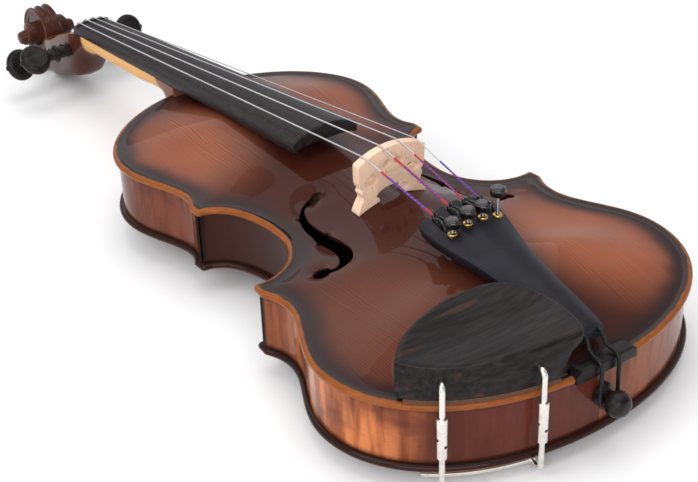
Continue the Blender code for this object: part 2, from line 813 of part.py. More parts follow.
def make_nut():
    half = NUT_WIDTH / 2
    outline = [(half, neck_plane(NUT_Y + 5.0) + 0.8)]
    outline += [(half * (1.0 - i / 4.0), nut_crown(half * (1.0 - i / 4.0))) for i in range(9)]
    outline += [(-half, neck_plane(NUT_Y + 5.0) + 0.8)]
    front = [(x, NUT_Y, z) for x, z in outline]
    back = [(x, NUT_Y + 5.2, z - (1.6 if z > neck_plane(NUT_Y) + 3.0 else 0.0)) for x, z in outline]
    front[0] = (half, NUT_Y, neck_plane(NUT_Y) + GAP)
    front[-1] = (-half, NUT_Y, neck_plane(NUT_Y) + GAP)
    back[0] = (half, NUT_Y + 5.2, neck_plane(NUT_Y + 5.2) + GAP)
    back[-1] = (-half, NUT_Y + 5.2, neck_plane(NUT_Y + 5.2) + GAP)
    add_piece("nut", loft([front, back]), ebony())


def peg_profile():
    """Distance from the centre plane towards the head, and radius."""
    return [
        (-15.5, PEG_RADIUS - 0.5),
        (13.9, PEG_RADIUS),
        (22.0, PEG_RADIUS + 0.3),
        (22.3, 5.6),
        (24.6, 5.9),
        (25.0, 4.2),
        (28.0, 3.5),
        (31.5, 4.0),
    ]


def make_pegs():
    for name, (side, y, z) in PEG_PLACES.items():
        shaft = turned([(side * t, r) for t, r in peg_profile()], 14, "x")
        peg = add_piece(f"peg_{name}", shaft, ebony(), turn=math.radians(PEG_TURN[name]))
        peg.location = Vector((0.0, y, z)) * MM
        head = bmesh.new()
        bmesh.ops.create_uvsphere(head, u_segments=14, v_segments=8, radius=1.0)
        bmesh.ops.scale(head, verts=head.verts, vec=PEG_HEAD)
        bmesh.ops.translate(head, verts=head.verts, vec=(side * PEG_HEAD_AT, 0.0, 0.0))
        blob = add_piece(f"peg_head_{name}", head, None, helper=True, turn=math.radians(PEG_TURN[name]))
        blob.location = peg.location
        boolean(peg, blob, "UNION")


# ---------------------------------------------------------------- strings

def string_path(name):
    """From the winding on the peg, over the nut and the bridge, to the tuner's fork."""
    _, peg_y, peg_z = PEG_PLACES[name]
    radius = STRING_RADIUS[name]
    nut_x = NUT_STRING_X[name]
    nut_z = nut_crown(nut_x) + GAP + radius
    fork = (TUNER_X[name], FORK_Y + STRING_END_AHEAD, fork_height(name))
    reach = PEG_RADIUS + 0.75
    tangent = math.radians(50.0)
    winding_x = mix(nut_x, 0.0, 0.45)
    return [
        (winding_x, peg_y - reach * math.cos(tangent), peg_z + reach * math.sin(tangent)),
        (nut_x, NUT_Y + 5.8, nut_z - 1.2),
        (nut_x, NUT_Y + 0.6, nut_z),
        (BRIDGE_STRING_X[name], BRIDGE_FRONT_Y + BRIDGE_TOP_THICK, BRIDGE_STRING_Z[name]),
        (BRIDGE_STRING_X[name], BRIDGE_FRONT_Y - 0.4, BRIDGE_STRING_Z[name]),
        fork,
    ]


def make_strings():
    for name in STRING_NAMES:
        radius = STRING_RADIUS[name]
        _, peg_y, peg_z = PEG_PLACES[name]
        path = string_path(name)
        string = add_piece(f"string_{name}", tube(path, radius, 6), string_steel())
        middle = path[0][0]
        half = 2.2
        inner = PEG_RADIUS + 0.35
        outer = inner + 2 * max(radius, 0.4)
        profile = [(middle - half, inner), (middle - half, outer), (middle + half, outer)]
        profile.append((middle + half, inner))
        winding = turned_hollow(profile, 14, "x", (0.0, peg_y, peg_z))
        coil = add_piece(f"winding_{name}", winding, None, helper=True)
        boolean(string, coil, "UNION")


# ---------------------------------------------------------------- bridge

def bridge_outline():
    """The bridge's face, treble half from the top of its arc down to the arch between the feet."""
    top = BRIDGE_STRING_Z["d"] - 0.75
    half = BRIDGE_HALF_WIDTH
    curve = []
    for i in range(7):
        x = half * i / 6
        curve.append((x, top - 42.0 + math.sqrt(42.0**2 - x * x) - (1.3 if i == 6 else 0.0)))
    curve += [(half, 27.0), (19.4, 25.0), (18.4, 24.2), (18.9, 22.0), (18.0, 19.0), (17.0, 17.2)]
    curve += [(21.0, belly_top(21.0, BRIDGE_Y) + 2.0), (21.2, belly_top(21.2, BRIDGE_Y) + 0.9)]
    curve += [(8.2, belly_top(8.2, BRIDGE_Y) + 0.9), (8.4, 15.9), (10.6, 17.2)]
    curve += bezier((10.6, 17.2), (8.5, 20.2), (4.0, 21.2), (0.0, 21.2), 4)
    return curve


def bridge_holes():
    """The heart's two lobes and the two kidneys."""
    holes = []
    for side in SIDES.values():
        holes.append([(side * 2.0 + x, 31.2 + z) for x, z in arc((0.0, 0.0), 1.55, 0.0, 315.0, 7)])
        kidney = arc((side * 14.2, 26.2), 2.9, 20.0, 340.0, 9)
        if side == BASS:
            kidney = [(2 * side * 14.2 - x, z) for x, z in reversed(kidney)]
        holes.append(kidney)
    return holes


def make_bridge():
    outline = full_outline(bridge_outline())

    def front(x, z):
        return BRIDGE_FRONT_Y

    def rear(x, z):
        return BRIDGE_FRONT_Y + mix(BRIDGE_FOOT_THICK, BRIDGE_TOP_THICK, (z - 12.0) / 31.0)

    shape = plate(outline, bridge_holes(), 7.0, front, rear, lambda x, z, y: (x, y, z))
    add_piece("bridge", shape, bridge_maple())


# ---------------------------------------------------------------- tailpiece

def tail_half_width(y):
    rows = [(TAIL_END_Y, 9.5), (24.0, 10.8), (50.0, 12.4), (75.0, 16.0), (92.0, 20.4), (103.0, 21.8)]
    rows += [(TAIL_TOP_Y, 20.4)]
    return curve_at(rows, y)[0]


def tail_centre(y):
    """Height of the tailpiece's crown."""
    return mix(13.2, 34.0, (y - TAIL_END_Y) / (TAIL_TOP_Y - TAIL_END_Y))


def tail_surface(x, y):
    half = tail_half_width(y)
    sag = mix(4.0, 5.6, smooth(30.0, 95.0, y))
    return tail_centre(y) - sag * (abs(x) / half) ** 2


def tail_thickness(y):
    return mix(5.0, 6.2, smooth(20.0, 90.0, y))


def fork_height(name):
    return tail_surface(TUNER_X[name], FORK_Y) + 1.4


def make_tailpiece():
    sections = []
    for y in (TAIL_END_Y, 14.0, 24.0, 50.0, 75.0, 92.0, 103.0, 107.5, TAIL_TOP_Y):
        half = tail_half_width(y)
        sink = 1.4 if y in (TAIL_END_Y, TAIL_TOP_Y) else 0.0
        ring = []
        for i in range(9):
            x = half * (1.0 - i / 4.0)
            ring.append((x, y, tail_surface(x, y) - sink))
        for i in range(5):
            x = -half * (1.0 - i / 2.0) * 0.94
            ring.append((x, y, tail_surface(x, y) - tail_thickness(y) + sink))
        sections.append(ring)
    tailpiece = add_piece("tailpiece", loft(sections), black_plastic())
    for name in STRING_NAMES:
        x = TUNER_X[name]
        top = tail_surface(x, SCREW_Y) + 4.0
        slot = box((x - 1.9, PIVOT_Y - 4.2, top - 22.0), (x + 1.9, TAIL_TOP_Y + 2.0, top))
        boolean(tailpiece, add_piece(f"tuner_slot_{name}", slot, None, helper=True), "DIFFERENCE")
        bore = turned([(top - 22.0, 2.0 + GAP), (top, 2.0 + GAP)], 12, "z", (x, SCREW_Y, 0.0))
        boolean(tailpiece, add_piece(f"insert_bore_{name}", bore, None, helper=True), "DIFFERENCE")
    for side in SIDES.values():
        hole = turned([(TAIL_END_Y - 2.0, 1.4), (TAIL_END_Y + 9.0, 1.4)], 10, "y",
                      (side * TAILGUT_APART, 0.0, tail_centre(TAIL_END_Y) - 3.0))
        name = "bass" if side == BASS else "treble"
        boolean(tailpiece, add_piece(f"tailgut_bore_{name}", hole, None, helper=True), "DIFFERENCE")


def make_tuners():
    for name in STRING_NAMES:
        x = TUNER_X[name]
        top = tail_surface(x, SCREW_Y)
        deep = tail_thickness(SCREW_Y)
        flange = top + 1.4
        insert = [(top - deep - 0.6, 1.3), (top - deep - 0.6, 2.0), (flange, 2.0), (flange, 2.9)]
        insert += [(flange + 0.7, 2.9), (flange + 0.7, 1.3)]
        shape = turned_hollow(insert, 12, "z", (x, SCREW_Y, 0.0))
        add_piece(f"tuner_insert_{name}", shape, brass())
        raised = top + 4.6 + (E_SCREW_EXTRA if name == "e" else 0.0)
        screw = [(top - deep - SCREW_REACH, TUNER_SCREW_RADIUS), (raised - GAP, TUNER_SCREW_RADIUS)]
        shaft = turned(screw, 10, "z", (x, SCREW_Y, 0.0))
        add_piece(f"tuner_screw_{name}", shaft, nickel(), pivot=(x, SCREW_Y, raised))
        head = bmesh.new()
        bmesh.ops.create_cone(head, cap_ends=True, segments=12, radius1=TUNER_HEAD_RADIUS,
                              radius2=TUNER_HEAD_RADIUS, depth=TUNER_HEAD_TALL)
        rims = [edge for edge in head.edges if abs(edge.verts[0].co.z - edge.verts[1].co.z) < 1e-6]
        bmesh.ops.bevel(head, geom=rims, offset=1.1, segments=2, profile=0.6, affect="EDGES")
        bmesh.ops.translate(head, verts=head.verts, vec=(x, SCREW_Y, raised + TUNER_HEAD_TALL / 2))
        add_piece(f"tuner_head_{name}", head, black_plastic(), pivot=(x, SCREW_Y, raised))
        make_lever(name)


def make_lever(name):
    """An L-shaped lever: the fork that holds the string stands up, and the foot lies under the screw."""
    x = TUNER_X[name]
    pivot_z = tail_surface(x, PIVOT_Y) - 3.4
    foot = tail_surface(x, SCREW_Y) - tail_thickness(SCREW_Y) - SCREW_REACH - GAP
    fork = fork_height(name) - STRING_RADIUS[name] - GAP
    outline = [
        (SCREW_Y - 3.0, foot - 1.4),
        (PIVOT_Y + 2.4, foot - 1.4),
        (PIVOT_Y + 2.6, pivot_z),
        (FORK_Y + 1.6, fork - 1.2),
        (FORK_Y + 1.6, fork),
        (FORK_Y - 1.4, fork),
        (PIVOT_Y - 1.6, pivot_z + 1.2),
        (PIVOT_Y - 1.6, foot),
        (SCREW_Y - 3.0, foot),
    ]
    shape = prism(outline, x - 1.5, x + 1.5, "x")
    add_piece(f"tuner_lever_{name}", shape, black_plastic(), pivot=(x, PIVOT_Y, pivot_z))


def make_saddle():
    half = SADDLE_HALF_WIDTH
    outline = [(-half, -0.3), (half, -0.3), (half, SADDLE_DEEP), (-half, SADDLE_DEEP)]
    shape = prism(outline, -EDGE, SADDLE_TOP)
    for corner in [v for v in shape.verts if v.co.z > 0.0]:
        corner.co.x *= 0.93
        corner.co.z -= 0.9
    add_piece("saddle", shape, ebony())


def make_endpin():
    profile = [(16.0, 2.9), (2.3, ENDPIN_SHANK), (2.2, 5.6), (0.8, 5.8), (0.2, 3.9), (-3.4, 3.6)]
    profile += [(-4.4, 5.2), (-6.6, 6.3), (-9.6, 6.3), (-12.0, 5.2), (-13.2, 3.0)]
    add_piece("endpin", turned(profile, 16, "y", (0.0, 0.0, ENDPIN_Z)), ebony())


def make_tailgut():
    """One cord: out of the tailpiece, over the saddle, round the endpin and back."""
    z = ENDPIN_Z
    hole_z = tail_centre(TAIL_END_Y) - 3.0
    path = [(TAILGUT_APART, TAIL_END_Y + 7.0, hole_z), (TAILGUT_APART, TAIL_END_Y - 1.6, hole_z)]
    path += [(5.0, 6.4, 5.2), (5.4, 3.0, 3.9)]
    path += [(5.4, -0.4, 3.4), (5.3, -2.0, 1.2), (5.2, -2.2, -6.0), (5.2, -2.2, z)]
    for i in range(1, 5):
        angle = math.pi * i / 10
        path.append((5.2 * math.cos(angle), -2.2, z - 5.2 * math.sin(angle)))
    path.append((0.0, -2.2, z - 5.2))
    path += mirrored_path(path)[1:]
    add_piece("tailgut", tube(path, TAILGUT_RADIUS, 8), tailgut_nylon())


def mirrored_path(path):
    return [(-x, y, z) for x, y, z in reversed(path)]


# ---------------------------------------------------------------- chinrest

def rest_outline(grow=0.0):
    """Plan of the chinrest: a half moon whose lower side follows the edge of the belly."""
    lower, _, _ = half_segments(10)
    edge = [(-x, y) for x, y in inset(lower, 0.6 - grow) if 13.0 < x and y < 38.0]
    points = list(reversed(edge))
    start = points[-1]
    points += bezier(start, (-8.5, start[1] + 1.5), (-6.4, 20.0), (-7.0, 30.0), 3)
    points += bezier((-7.0, 30.0), (-8.0, 44.0), (-14.0, 57.0), (-34.0, 57.6), 4)
    points += bezier((-34.0, 57.6), (-58.0, 58.2), (-78.0, 52.0), points[0], 6)[:-1]
    return points


def rest_surface(x, y):
    """The dished top: highest along the wall and the inner rim."""
    u = (x + 50.0) / 44.0
    v = (y - 33.0) / 24.0
    dish = max(0.0, 1.0 - u * u - v * v)
    rise = 1.4 * smooth(20.0, 55.0, y)
    return REST_TOP + rise - 4.6 * dish


def rest_under(x, y):
    """Low foot along the belly's edge, and a thin overhanging plate further in."""
    from_edge = distance_to_edge(-x, y, EDGE_LINE)
    lift = max(smooth(14.0, 20.0, from_edge), smooth(-25.0, -18.0, x))
    return mix(REST_FLOOR, rest_surface(x, y) - REST_THICK, lift)


def make_chinrest():
    outline = rest_outline()
    rest = add_piece("chinrest", plate(outline, [], 8.0, rest_surface, rest_under), ebony())
    for name in CLAMP_PLACES:
        hole = tube(rod_path(name, inner_end=13.0)[:4], ROD_RADIUS + GAP, 10)
        boolean(rest, add_piece(f"rod_hole_{name}", hole, None, helper=True), "DIFFERENCE")
    lower, _, _ = half_segments(10)
    band = [p for p in inset(lower, 0.8) if 22.0 < p[0] and p[1] < 34.0]
    pad = [(-x, y) for x, y in band]
    pad += [(-x, y) for x, y in reversed(inset(band, 9.0))]
    shape = plate(pad, [], 12.0, lambda x, y: REST_FLOOR - GAP, lambda x, y: belly_top(x, y) + 3 * GAP)
    add_piece("chinrest_cork", shape, cork())


def clamp_direction(name):
    """Unit vector in the plane from the clamp's leg towards the body."""
    x, y = CLAMP_PLACES[name]
    closest = min(EDGE_LINE, key=lambda p: math.dist(p, (-x, y)))
    i = EDGE_LINE.index(closest)
    before, after = EDGE_LINE[max(i - 1, 0)], EDGE_LINE[i + 1]
    along = Vector((after[0] - before[0], after[1] - before[1])).normalized()
    return Vector((along.y, along.x))


def rod_path(name, inner_end):
    """The upper rod: out of the chinrest's wall, a quarter turn, and down into the barrel."""
    x, y = CLAMP_PLACES[name]
    into = clamp_direction(name)
    height, bend = 12.6, 3.2
    points = [(inner_end, height), (bend, height)]
    points += [(bend * (1.0 - math.sin(a)), height - bend * (1.0 - math.cos(a)))
               for a in (math.radians(d) for d in (30.0, 60.0, 90.0))]
    points.append((0.0, BARREL_TOP - 6.5))
    return [(x + into.x * run, y + into.y * run, z) for run, z in points]


def make_clamp():
    for name, (x, y) in CLAMP_PLACES.items():
        add_piece(f"clamp_rod_{name}", tube(rod_path(name, inner_end=12.0), ROD_RADIUS, 10), nickel())
        bore = ROD_RADIUS + GAP
        profile = [(BARREL_BOTTOM, bore), (BARREL_BOTTOM, 2.2), (BARREL_BOTTOM + 1.0, BARREL_RADIUS),
                   (BARREL_TOP - 1.0, BARREL_RADIUS), (BARREL_TOP, 2.2), (BARREL_TOP, bore)]
        shape = turned_hollow(profile, 12, "z", (x, y, 0.0))
        barrel = add_piece(f"clamp_barrel_{name}", shape, nickel(), pivot=(x, y, BARREL_TOP))
        key_hole = turned([(x - 6.0, 0.8), (x + 6.0, 0.8)], 8, "x", (0.0, y, -14.0))
        boolean(barrel, add_piece(f"key_hole_{name}", key_hole, None, helper=True), "DIFFERENCE")
    make_bracket()


def make_bracket():
    """Two legs joined by a flat bar that grips under the back's edge."""
    outer, inner = CLAMP_PLACES["outer"], CLAMP_PLACES["inner"]
    bar_top = BACK_BOTTOM - 2.4
    lower, _, _ = half_segments(20)
    line = [p for p in inset(lower, 1.0) if -inner[0] - 7.0 < p[0] < -outer[0] + 4.0 and p[1] < 60.0]
    line = line[::2]
    band = [(-x, y) for x, y in line] + [(-x, y) for x, y in reversed(inset(line, 7.0))]
    bracket = add_piece("clamp_bracket", prism(band, bar_top - 2.0, bar_top), nickel())
    for name in CLAMP_PLACES:
        x, y = CLAMP_PLACES[name]
        into = clamp_direction(name)
        level = bar_top - 1.0 - 0.45
        points = [(0.0, BARREL_BOTTOM + 6.5), (0.0, level + 3.0), (0.9, level + 0.9)]
        points += [(3.0, level), (9.0, level)]
        path = [(x + into.x * run, y + into.y * run, z) for run, z in points]
        leg = add_piece(f"bracket_leg_{name}", tube(path, ROD_RADIUS, 10), None, helper=True)
        boolean(bracket, leg, "UNION")
    pad = plate(band, [], 12.0, lambda x, y: back_under(x, y) - 3 * GAP, lambda x, y: bar_top + GAP)
    add_piece("bracket_cork", pad, cork())


# ---------------------------------------------------------------- assembly

def lay_down():
    """Pitches the violin onto its back and centres it on the floor."""
    violin = bpy.data.objects.new("violin", None)
    bpy.context.scene.collection.objects.link(violin)
    for piece in bpy.context.scene.objects:
        if piece is not violin:
            piece.parent = violin
    violin.rotation_euler = (REST_PITCH, 0.0, 0.0)
    bpy.context.view_layer.update()
    graph = bpy.context.evaluated_depsgraph_get()
    low = Vector((1e9, 1e9, 1e9))
    high = -low
    for piece in violin.children:
        if piece.hide_render:
            continue
        evaluated = piece.evaluated_get(graph)
        mesh = evaluated.to_mesh()
        for corner in mesh.vertices:
            point = evaluated.matrix_world @ corner.co
            low = Vector(map(min, low, point))
            high = Vector(map(max, high, point))
        evaluated.to_mesh_clear()
    violin.location = (-(low.x + high.x) / 2, -(low.y + high.y) / 2, -low.z)


def build():
    for leftover in list(bpy.data.objects):
        bpy.data.objects.remove(leftover)
    make_belly()
    make_back()
    endpin_bore = make_endpin_bore()
    make_ribs(endpin_bore)
    make_blocks(endpin_bore)
    make_linings()
    make_bass_bar()
    make_sound_post()
    make_neck()
    make_fingerboard()
    make_nut()
    make_pegs()
    make_strings()
    make_bridge()
    make_tailpiece()
    make_tuners()
    make_saddle()
    make_endpin()
    make_tailgut()
    make_chinrest()
    make_clamp()
    lay_down()


build()
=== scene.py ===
"""The looks of the violin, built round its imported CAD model.

Every piece is drawn in the violin's own frame: x runs to the treble side, y from the
bottom edge of the belly towards the scroll, and z up from the top of the belly's edge.
Sizes are in millimetres, and add_piece() lays each finished mesh where the CAD lies.
"""

import json
import math

import bmesh
import bpy
import numpy as np
from mathutils import Matrix, Vector
from mathutils.geometry import delaunay_2d_cdt


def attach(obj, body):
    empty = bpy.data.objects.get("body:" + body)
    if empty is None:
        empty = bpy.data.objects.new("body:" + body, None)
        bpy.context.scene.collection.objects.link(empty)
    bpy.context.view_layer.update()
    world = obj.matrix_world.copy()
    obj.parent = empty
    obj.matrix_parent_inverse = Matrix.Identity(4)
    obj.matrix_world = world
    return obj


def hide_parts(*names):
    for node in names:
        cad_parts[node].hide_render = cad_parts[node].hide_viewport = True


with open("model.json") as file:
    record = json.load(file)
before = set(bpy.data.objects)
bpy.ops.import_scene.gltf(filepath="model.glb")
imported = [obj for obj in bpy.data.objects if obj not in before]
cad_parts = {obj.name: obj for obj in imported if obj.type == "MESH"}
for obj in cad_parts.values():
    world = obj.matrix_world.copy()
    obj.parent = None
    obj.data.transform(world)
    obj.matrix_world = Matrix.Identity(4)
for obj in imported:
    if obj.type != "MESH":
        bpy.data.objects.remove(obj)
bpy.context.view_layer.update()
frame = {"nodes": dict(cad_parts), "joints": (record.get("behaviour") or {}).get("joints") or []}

MM = 0.001
BASS, TREBLE = -1, 1
SIDES = {"bass": BASS, "treble": TREBLE}
STRING_NAMES = ("g", "d", "a", "e")

# The CAD's driving dimensions, and places given as (x, y) or (y, z)
BODY_LENGTH = 356.0
LOWER_BOUT = (104.0, 72.0)
LOWER_CORNER = (91.3, 146.8)
WAIST = (53.0, 184.0)
UPPER_CORNER = (77.1, 229.5)
UPPER_BOUT = (83.0, 292.0)
EDGE = 4.0
ARCH = 14.5
BACK_ARCH = 11.0
PLATE = 3.2
CHANNEL = 4.0
RIB_INSET = 2.8
RIB_THICK = 1.2
RIM_INSET = 2.2
BACK_TOP = -34.0
BACK_BOTTOM = -38.0
RIB_MIDDLE = (BACK_TOP - EDGE) / 2
BUTTON_RADIUS = 11.0
BUTTON_END = 367.0
UPPER_EYE = (24.3, 189.9)
UPPER_EYE_RADIUS = 3.3
LOWER_EYE = (58.6, 135.5)
LOWER_EYE_RADIUS = 4.7
NECK_ROOT = 350.0
NECK_PLANE_Z = 5.2
NECK_SLOPE = 0.1092
NUT_Y = 486.0
NUT_WIDTH = 24.0
BOARD_END_Y = 214.0
BOARD_END_WIDTH = 42.4
BOARD_EDGE = 5.0
BOARD_RADIUS = 42.0
SCROLL_EYE = (566.0, -37.0)
SCROLL_HALF_WIDTH = 21.0
PEG_PLACES = {
    "g": (BASS, 500.0, -24.0),
    "e": (TREBLE, 512.5, -28.5),
    "d": (BASS, 527.0, -37.5),
    "a": (TREBLE, 539.0, -42.0),
}
PEG_RADIUS = 3.7
PEG_TURN = {"g": 35.0, "d": 62.0, "a": 20.0, "e": 75.0}
STRING_RADIUS = {"g": 0.42, "d": 0.45, "a": 0.36, "e": 0.30}
BRIDGE_Y = 160.0
BRIDGE_STRING_X = {"g": -16.0, "d": -5.4, "a": 5.4, "e": 16.0}
BRIDGE_STRING_Z = {"g": 41.0, "d": 43.7, "a": 43.7, "e": 41.0}
NUT_STRING_X = {"g": -8.25, "d": -2.75, "a": 2.75, "e": 8.25}
BRIDGE_HALF_WIDTH = 20.7
BRIDGE_FRONT_Y = 155.6
BRIDGE_FOOT_THICK = 6.4
BRIDGE_TOP_THICK = 4.8
TAIL_TOP_Y = 109.0
TAIL_END_Y = 11.0
TUNER_X = {"g": -13.8, "d": -4.6, "a": 4.6, "e": 13.8}
SCREW_Y = 91.0
FORK_Y = 103.0
PIVOT_Y = 99.0
E_SCREW_EXTRA = 7.0
SCREW_REACH = 2.2
ENDPIN_Z = -17.5
REST_FLOOR = 2.4
REST_TOP = 22.6
REST_THICK = 4.6
CLAMP_PLACES = {"outer": (-78.7, 18.3), "inner": (-37.4, 0.1)}
ROD_RADIUS = 1.45
BARREL_RADIUS = 2.6
BARREL_TOP = -3.0
BARREL_BOTTOM = -25.0
REST_PITCH = math.radians(1.8)

# The looks' own details: a plate is solid as far in as HOLLOW's first number and hollow past its
# second, the volute runs between two angles in degrees, and SPIRAL_TRIM keeps it in the CAD's box
FINE_STEPS = 26
HOLLOW = (9.0, 17.0)
SPIRAL_SPAN = (-112.0, 712.0)
SPIRAL_STEP = 8.0
SPIRAL_TRIM = 0.2
CHAMFER = 0.9
STRING_SIDES = 14
SILK_WRAP = 0.16
HEAD_SILK_WRAP = 0.10
COIL_STEPS = 22
COIL_TURNS = 5
GUT_X = 4.6
GUT_DROP = 3.0

# The camera, fitted to the photograph in violin millimetres
FOCAL_PIXELS = 1495.75
IMAGE_WIDTH = 698
SENSOR = 36.0
CAMERA_PLACE = (-392.94, -368.34, 400.02)
CAMERA_AHEAD = (0.48377, 0.69455, -0.53251)
CAMERA_RIGHT = (0.80926, -0.58668, -0.03001)


def violin_matrix():
    """Where the violin's frame lies in the room, read from the G peg's joint."""
    turn = Matrix.Rotation(REST_PITCH, 4, "X")
    joint = next(j for j in frame["joints"] if j["name"] == "peg_g_turn")
    peg = Vector((0.0, *PEG_PLACES["g"][1:])) * MM
    return Matrix.Translation(Vector(joint["pos_m"]) - turn @ peg) @ turn


PLACE = violin_matrix()


# ---------------------------------------------------------------- numbers

def mix(a, b, t):
    return a + (b - a) * t


def smooth(low, high, value):
    t = np.clip((value - low) / (high - low), 0.0, 1.0)
    return t * t * (3.0 - 2.0 * t)


def table(rows, at):
    """Smooth reading of (key, value) rows, by cubic pieces through them."""
    keys = np.array([row[0] for row in rows], float)
    values = np.array([row[1] for row in rows], float)
    slopes = np.gradient(values, keys)
    at = np.clip(at, keys[0], keys[-1])
    i = np.clip(np.searchsorted(keys, at, side="right") - 1, 0, len(keys) - 2)
    width = keys[i + 1] - keys[i]
    t = (at - keys[i]) / width
    keep = (2 * t**3 - 3 * t**2 + 1) * values[i] + (3 * t**2 - 2 * t**3) * values[i + 1]
    return keep + width * ((t**3 - 2 * t**2 + t) * slopes[i] + (t**3 - t**2) * slopes[i + 1])


def bezier(start, out, into, end, steps):
    """Points of a cubic curve after its start, up to its end."""
    points = []
    for i in range(1, steps + 1):
        t = i / steps
        u = 1.0 - t
        weights = (u**3, 3 * u * u * t, 3 * u * t * t, t**3)
        axes = zip(start, out, into, end)
        points.append(tuple(sum(w * c for w, c in zip(weights, axis)) for axis in axes))
    return points


def arc(centre, radius, first, last, steps):
    angles = [math.radians(mix(first, last, i / steps)) for i in range(steps + 1)]
    return [(centre[0] + radius * math.cos(a), centre[1] + radius * math.sin(a)) for a in angles]


def mirrored(points):
    return [(-x, y) for x, y in reversed(points)]


def full_outline(treble):
    return treble + mirrored(treble)[1:-1]


def distances(points, line):
    """Distance in the plane from each point to a polyline."""
    line = np.asarray(line, float)
    here = np.asarray(points, float)[:, None, :2]
    start = line[None, :-1]
    along = line[None, 1:] - start
    t = np.clip(((here - start) * along).sum(2) / (along**2).sum(2), 0.0, 1.0)
    return np.sqrt(((start + along * t[..., None] - here) ** 2).sum(2)).min(1)


def inside(points, outline):
    """Whether each point lies in a polygon, by crossings."""
    points = np.asarray(points, float)
    start = np.asarray(outline, float)
    end = np.roll(start, -1, axis=0)
    x, y = points[:, None, 0], points[:, None, 1]
    spans = (start[None, :, 1] > y) != (end[None, :, 1] > y)
    rise = np.where(end[:, 1] == start[:, 1], 1e-9, end[:, 1] - start[:, 1])[None]
    cross = (end[None, :, 0] - start[None, :, 0]) * (y - start[None, :, 1]) / rise + start[None, :, 0]
    return ((spans & (x < cross)).sum(1) % 2).astype(bool)


def offset(points, distance, closed=False):
    """A line moved to its left side by distance."""
    line = np.asarray(points, float)
    if closed:
        before, after = np.roll(line, 1, axis=0), np.roll(line, -1, axis=0)
    else:
        before = np.vstack([line[:1], line[:-1]])
        after = np.vstack([line[1:], line[-1:]])
    along = after - before
    along /= np.linalg.norm(along, axis=1)[:, None]
    return [(x - ay * distance, y + ax * distance) for (x, y), (ax, ay) in zip(line, along)]


def runs_along(points):
    """How far along a line each of its points lies."""
    return np.concatenate([[0.0], np.cumsum([math.dist(a, b) for a, b in zip(points, points[1:])])])


def fillet(points, index, radius, steps=6):
    """The line with the corner at index rounded to an arc."""
    corner = Vector(points[index])
    before = (Vector(points[index - 1]) - corner).normalized()
    after = (Vector(points[index + 1]) - corner).normalized()
    half = before.angle(after) / 2
    reach = radius / math.tan(half)
    centre = corner + (before + after).normalized() * radius / math.sin(half)
    first = corner + before * reach - centre
    last = corner + after * reach - centre
    sweep = first.angle_signed(last)
    rounded = []
    for i in range(steps + 1):
        angle = -sweep * i / steps
        turned = Vector((first.x * math.cos(angle) - first.y * math.sin(angle),
                         first.x * math.sin(angle) + first.y * math.cos(angle)))
        rounded.append(tuple(centre + turned))
    left = [p for p in points[:index] if (Vector(p) - corner).length > reach + 0.3]
    right = [p for p in points[index + 1:] if (Vector(p) - corner).length > reach + 0.3]
    return left + rounded + right


# ---------------------------------------------------------------- meshes

def add_piece(name, shape, finishes, body, nodes=(), pivot=None, turn=0.0, sharp=40.0):
    """Turns a bmesh in violin millimetres into a piece that rides on a CAD body."""
    bmesh.ops.recalc_face_normals(shape, faces=shape.faces)
    lay = Matrix.Rotation(REST_PITCH, 4, "X") @ Matrix.Rotation(turn, 4, "X") @ Matrix.Scale(MM, 4)
    bmesh.ops.transform(shape, verts=shape.verts, matrix=lay)
    mesh = bpy.data.meshes.new(name)
    shape.to_mesh(mesh)
    shape.free()
    mesh.shade_smooth()
    mesh.set_sharp_from_angle(angle=math.radians(sharp))
    for finish in finishes:
        mesh.materials.append(finish)
    piece = bpy.data.objects.new(name, mesh)
    bpy.context.scene.collection.objects.link(piece)
    piece.location = PLACE @ (Vector(pivot or (0.0, 0.0, 0.0)) * MM)
    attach(piece, body)
    if nodes:
        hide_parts(*nodes)
    return piece


def carve(shape, cutters):
    """A bmesh with other bmeshes cut from it."""
    helpers = []
    for i, part in enumerate([shape, *cutters]):
        bmesh.ops.recalc_face_normals(part, faces=part.faces)
        mesh = bpy.data.meshes.new(f"carve_{i}")
        part.to_mesh(mesh)
        part.free()
        helper = bpy.data.objects.new(f"carve_{i}", mesh)
        bpy.context.scene.collection.objects.link(helper)
        helpers.append(helper)
    for cutter in helpers[1:]:
        step = helpers[0].modifiers.new(cutter.name, "BOOLEAN")
        step.operation = "DIFFERENCE"
        step.solver = "EXACT"
        step.object = cutter
    graph = bpy.context.evaluated_depsgraph_get()
    result = bmesh.new()
    result.from_mesh(helpers[0].evaluated_get(graph).to_mesh())
    for helper in helpers:
        bpy.data.objects.remove(helper)
    return result


def loft(sections, caps=True, loop=False):
    """A skin through rings that all have the same number of points."""
    shape = bmesh.new()
    rings = [[shape.verts.new(point) for point in ring] for ring in sections]
    pairs = list(zip(rings, rings[1:]))
    if loop:
        pairs.append((rings[-1], rings[0]))
    for low, high in pairs:
        for i in range(len(low)):
            j = (i + 1) % len(low)
            shape.faces.new((low[i], low[j], high[j], high[i]))
    if caps and not loop:
        shape.faces.new(list(reversed(rings[0])))
        shape.faces.new(rings[-1])
    return shape


def prism(outline, low, high, axis="z"):
    place = {
        "z": lambda u, v, w: (u, v, w),
        "x": lambda u, v, w: (w, u, v),
        "y": lambda u, v, w: (u, w, v),
    }[axis]
    return loft([[place(u, v, level) for u, v in outline] for level in (low, high)])


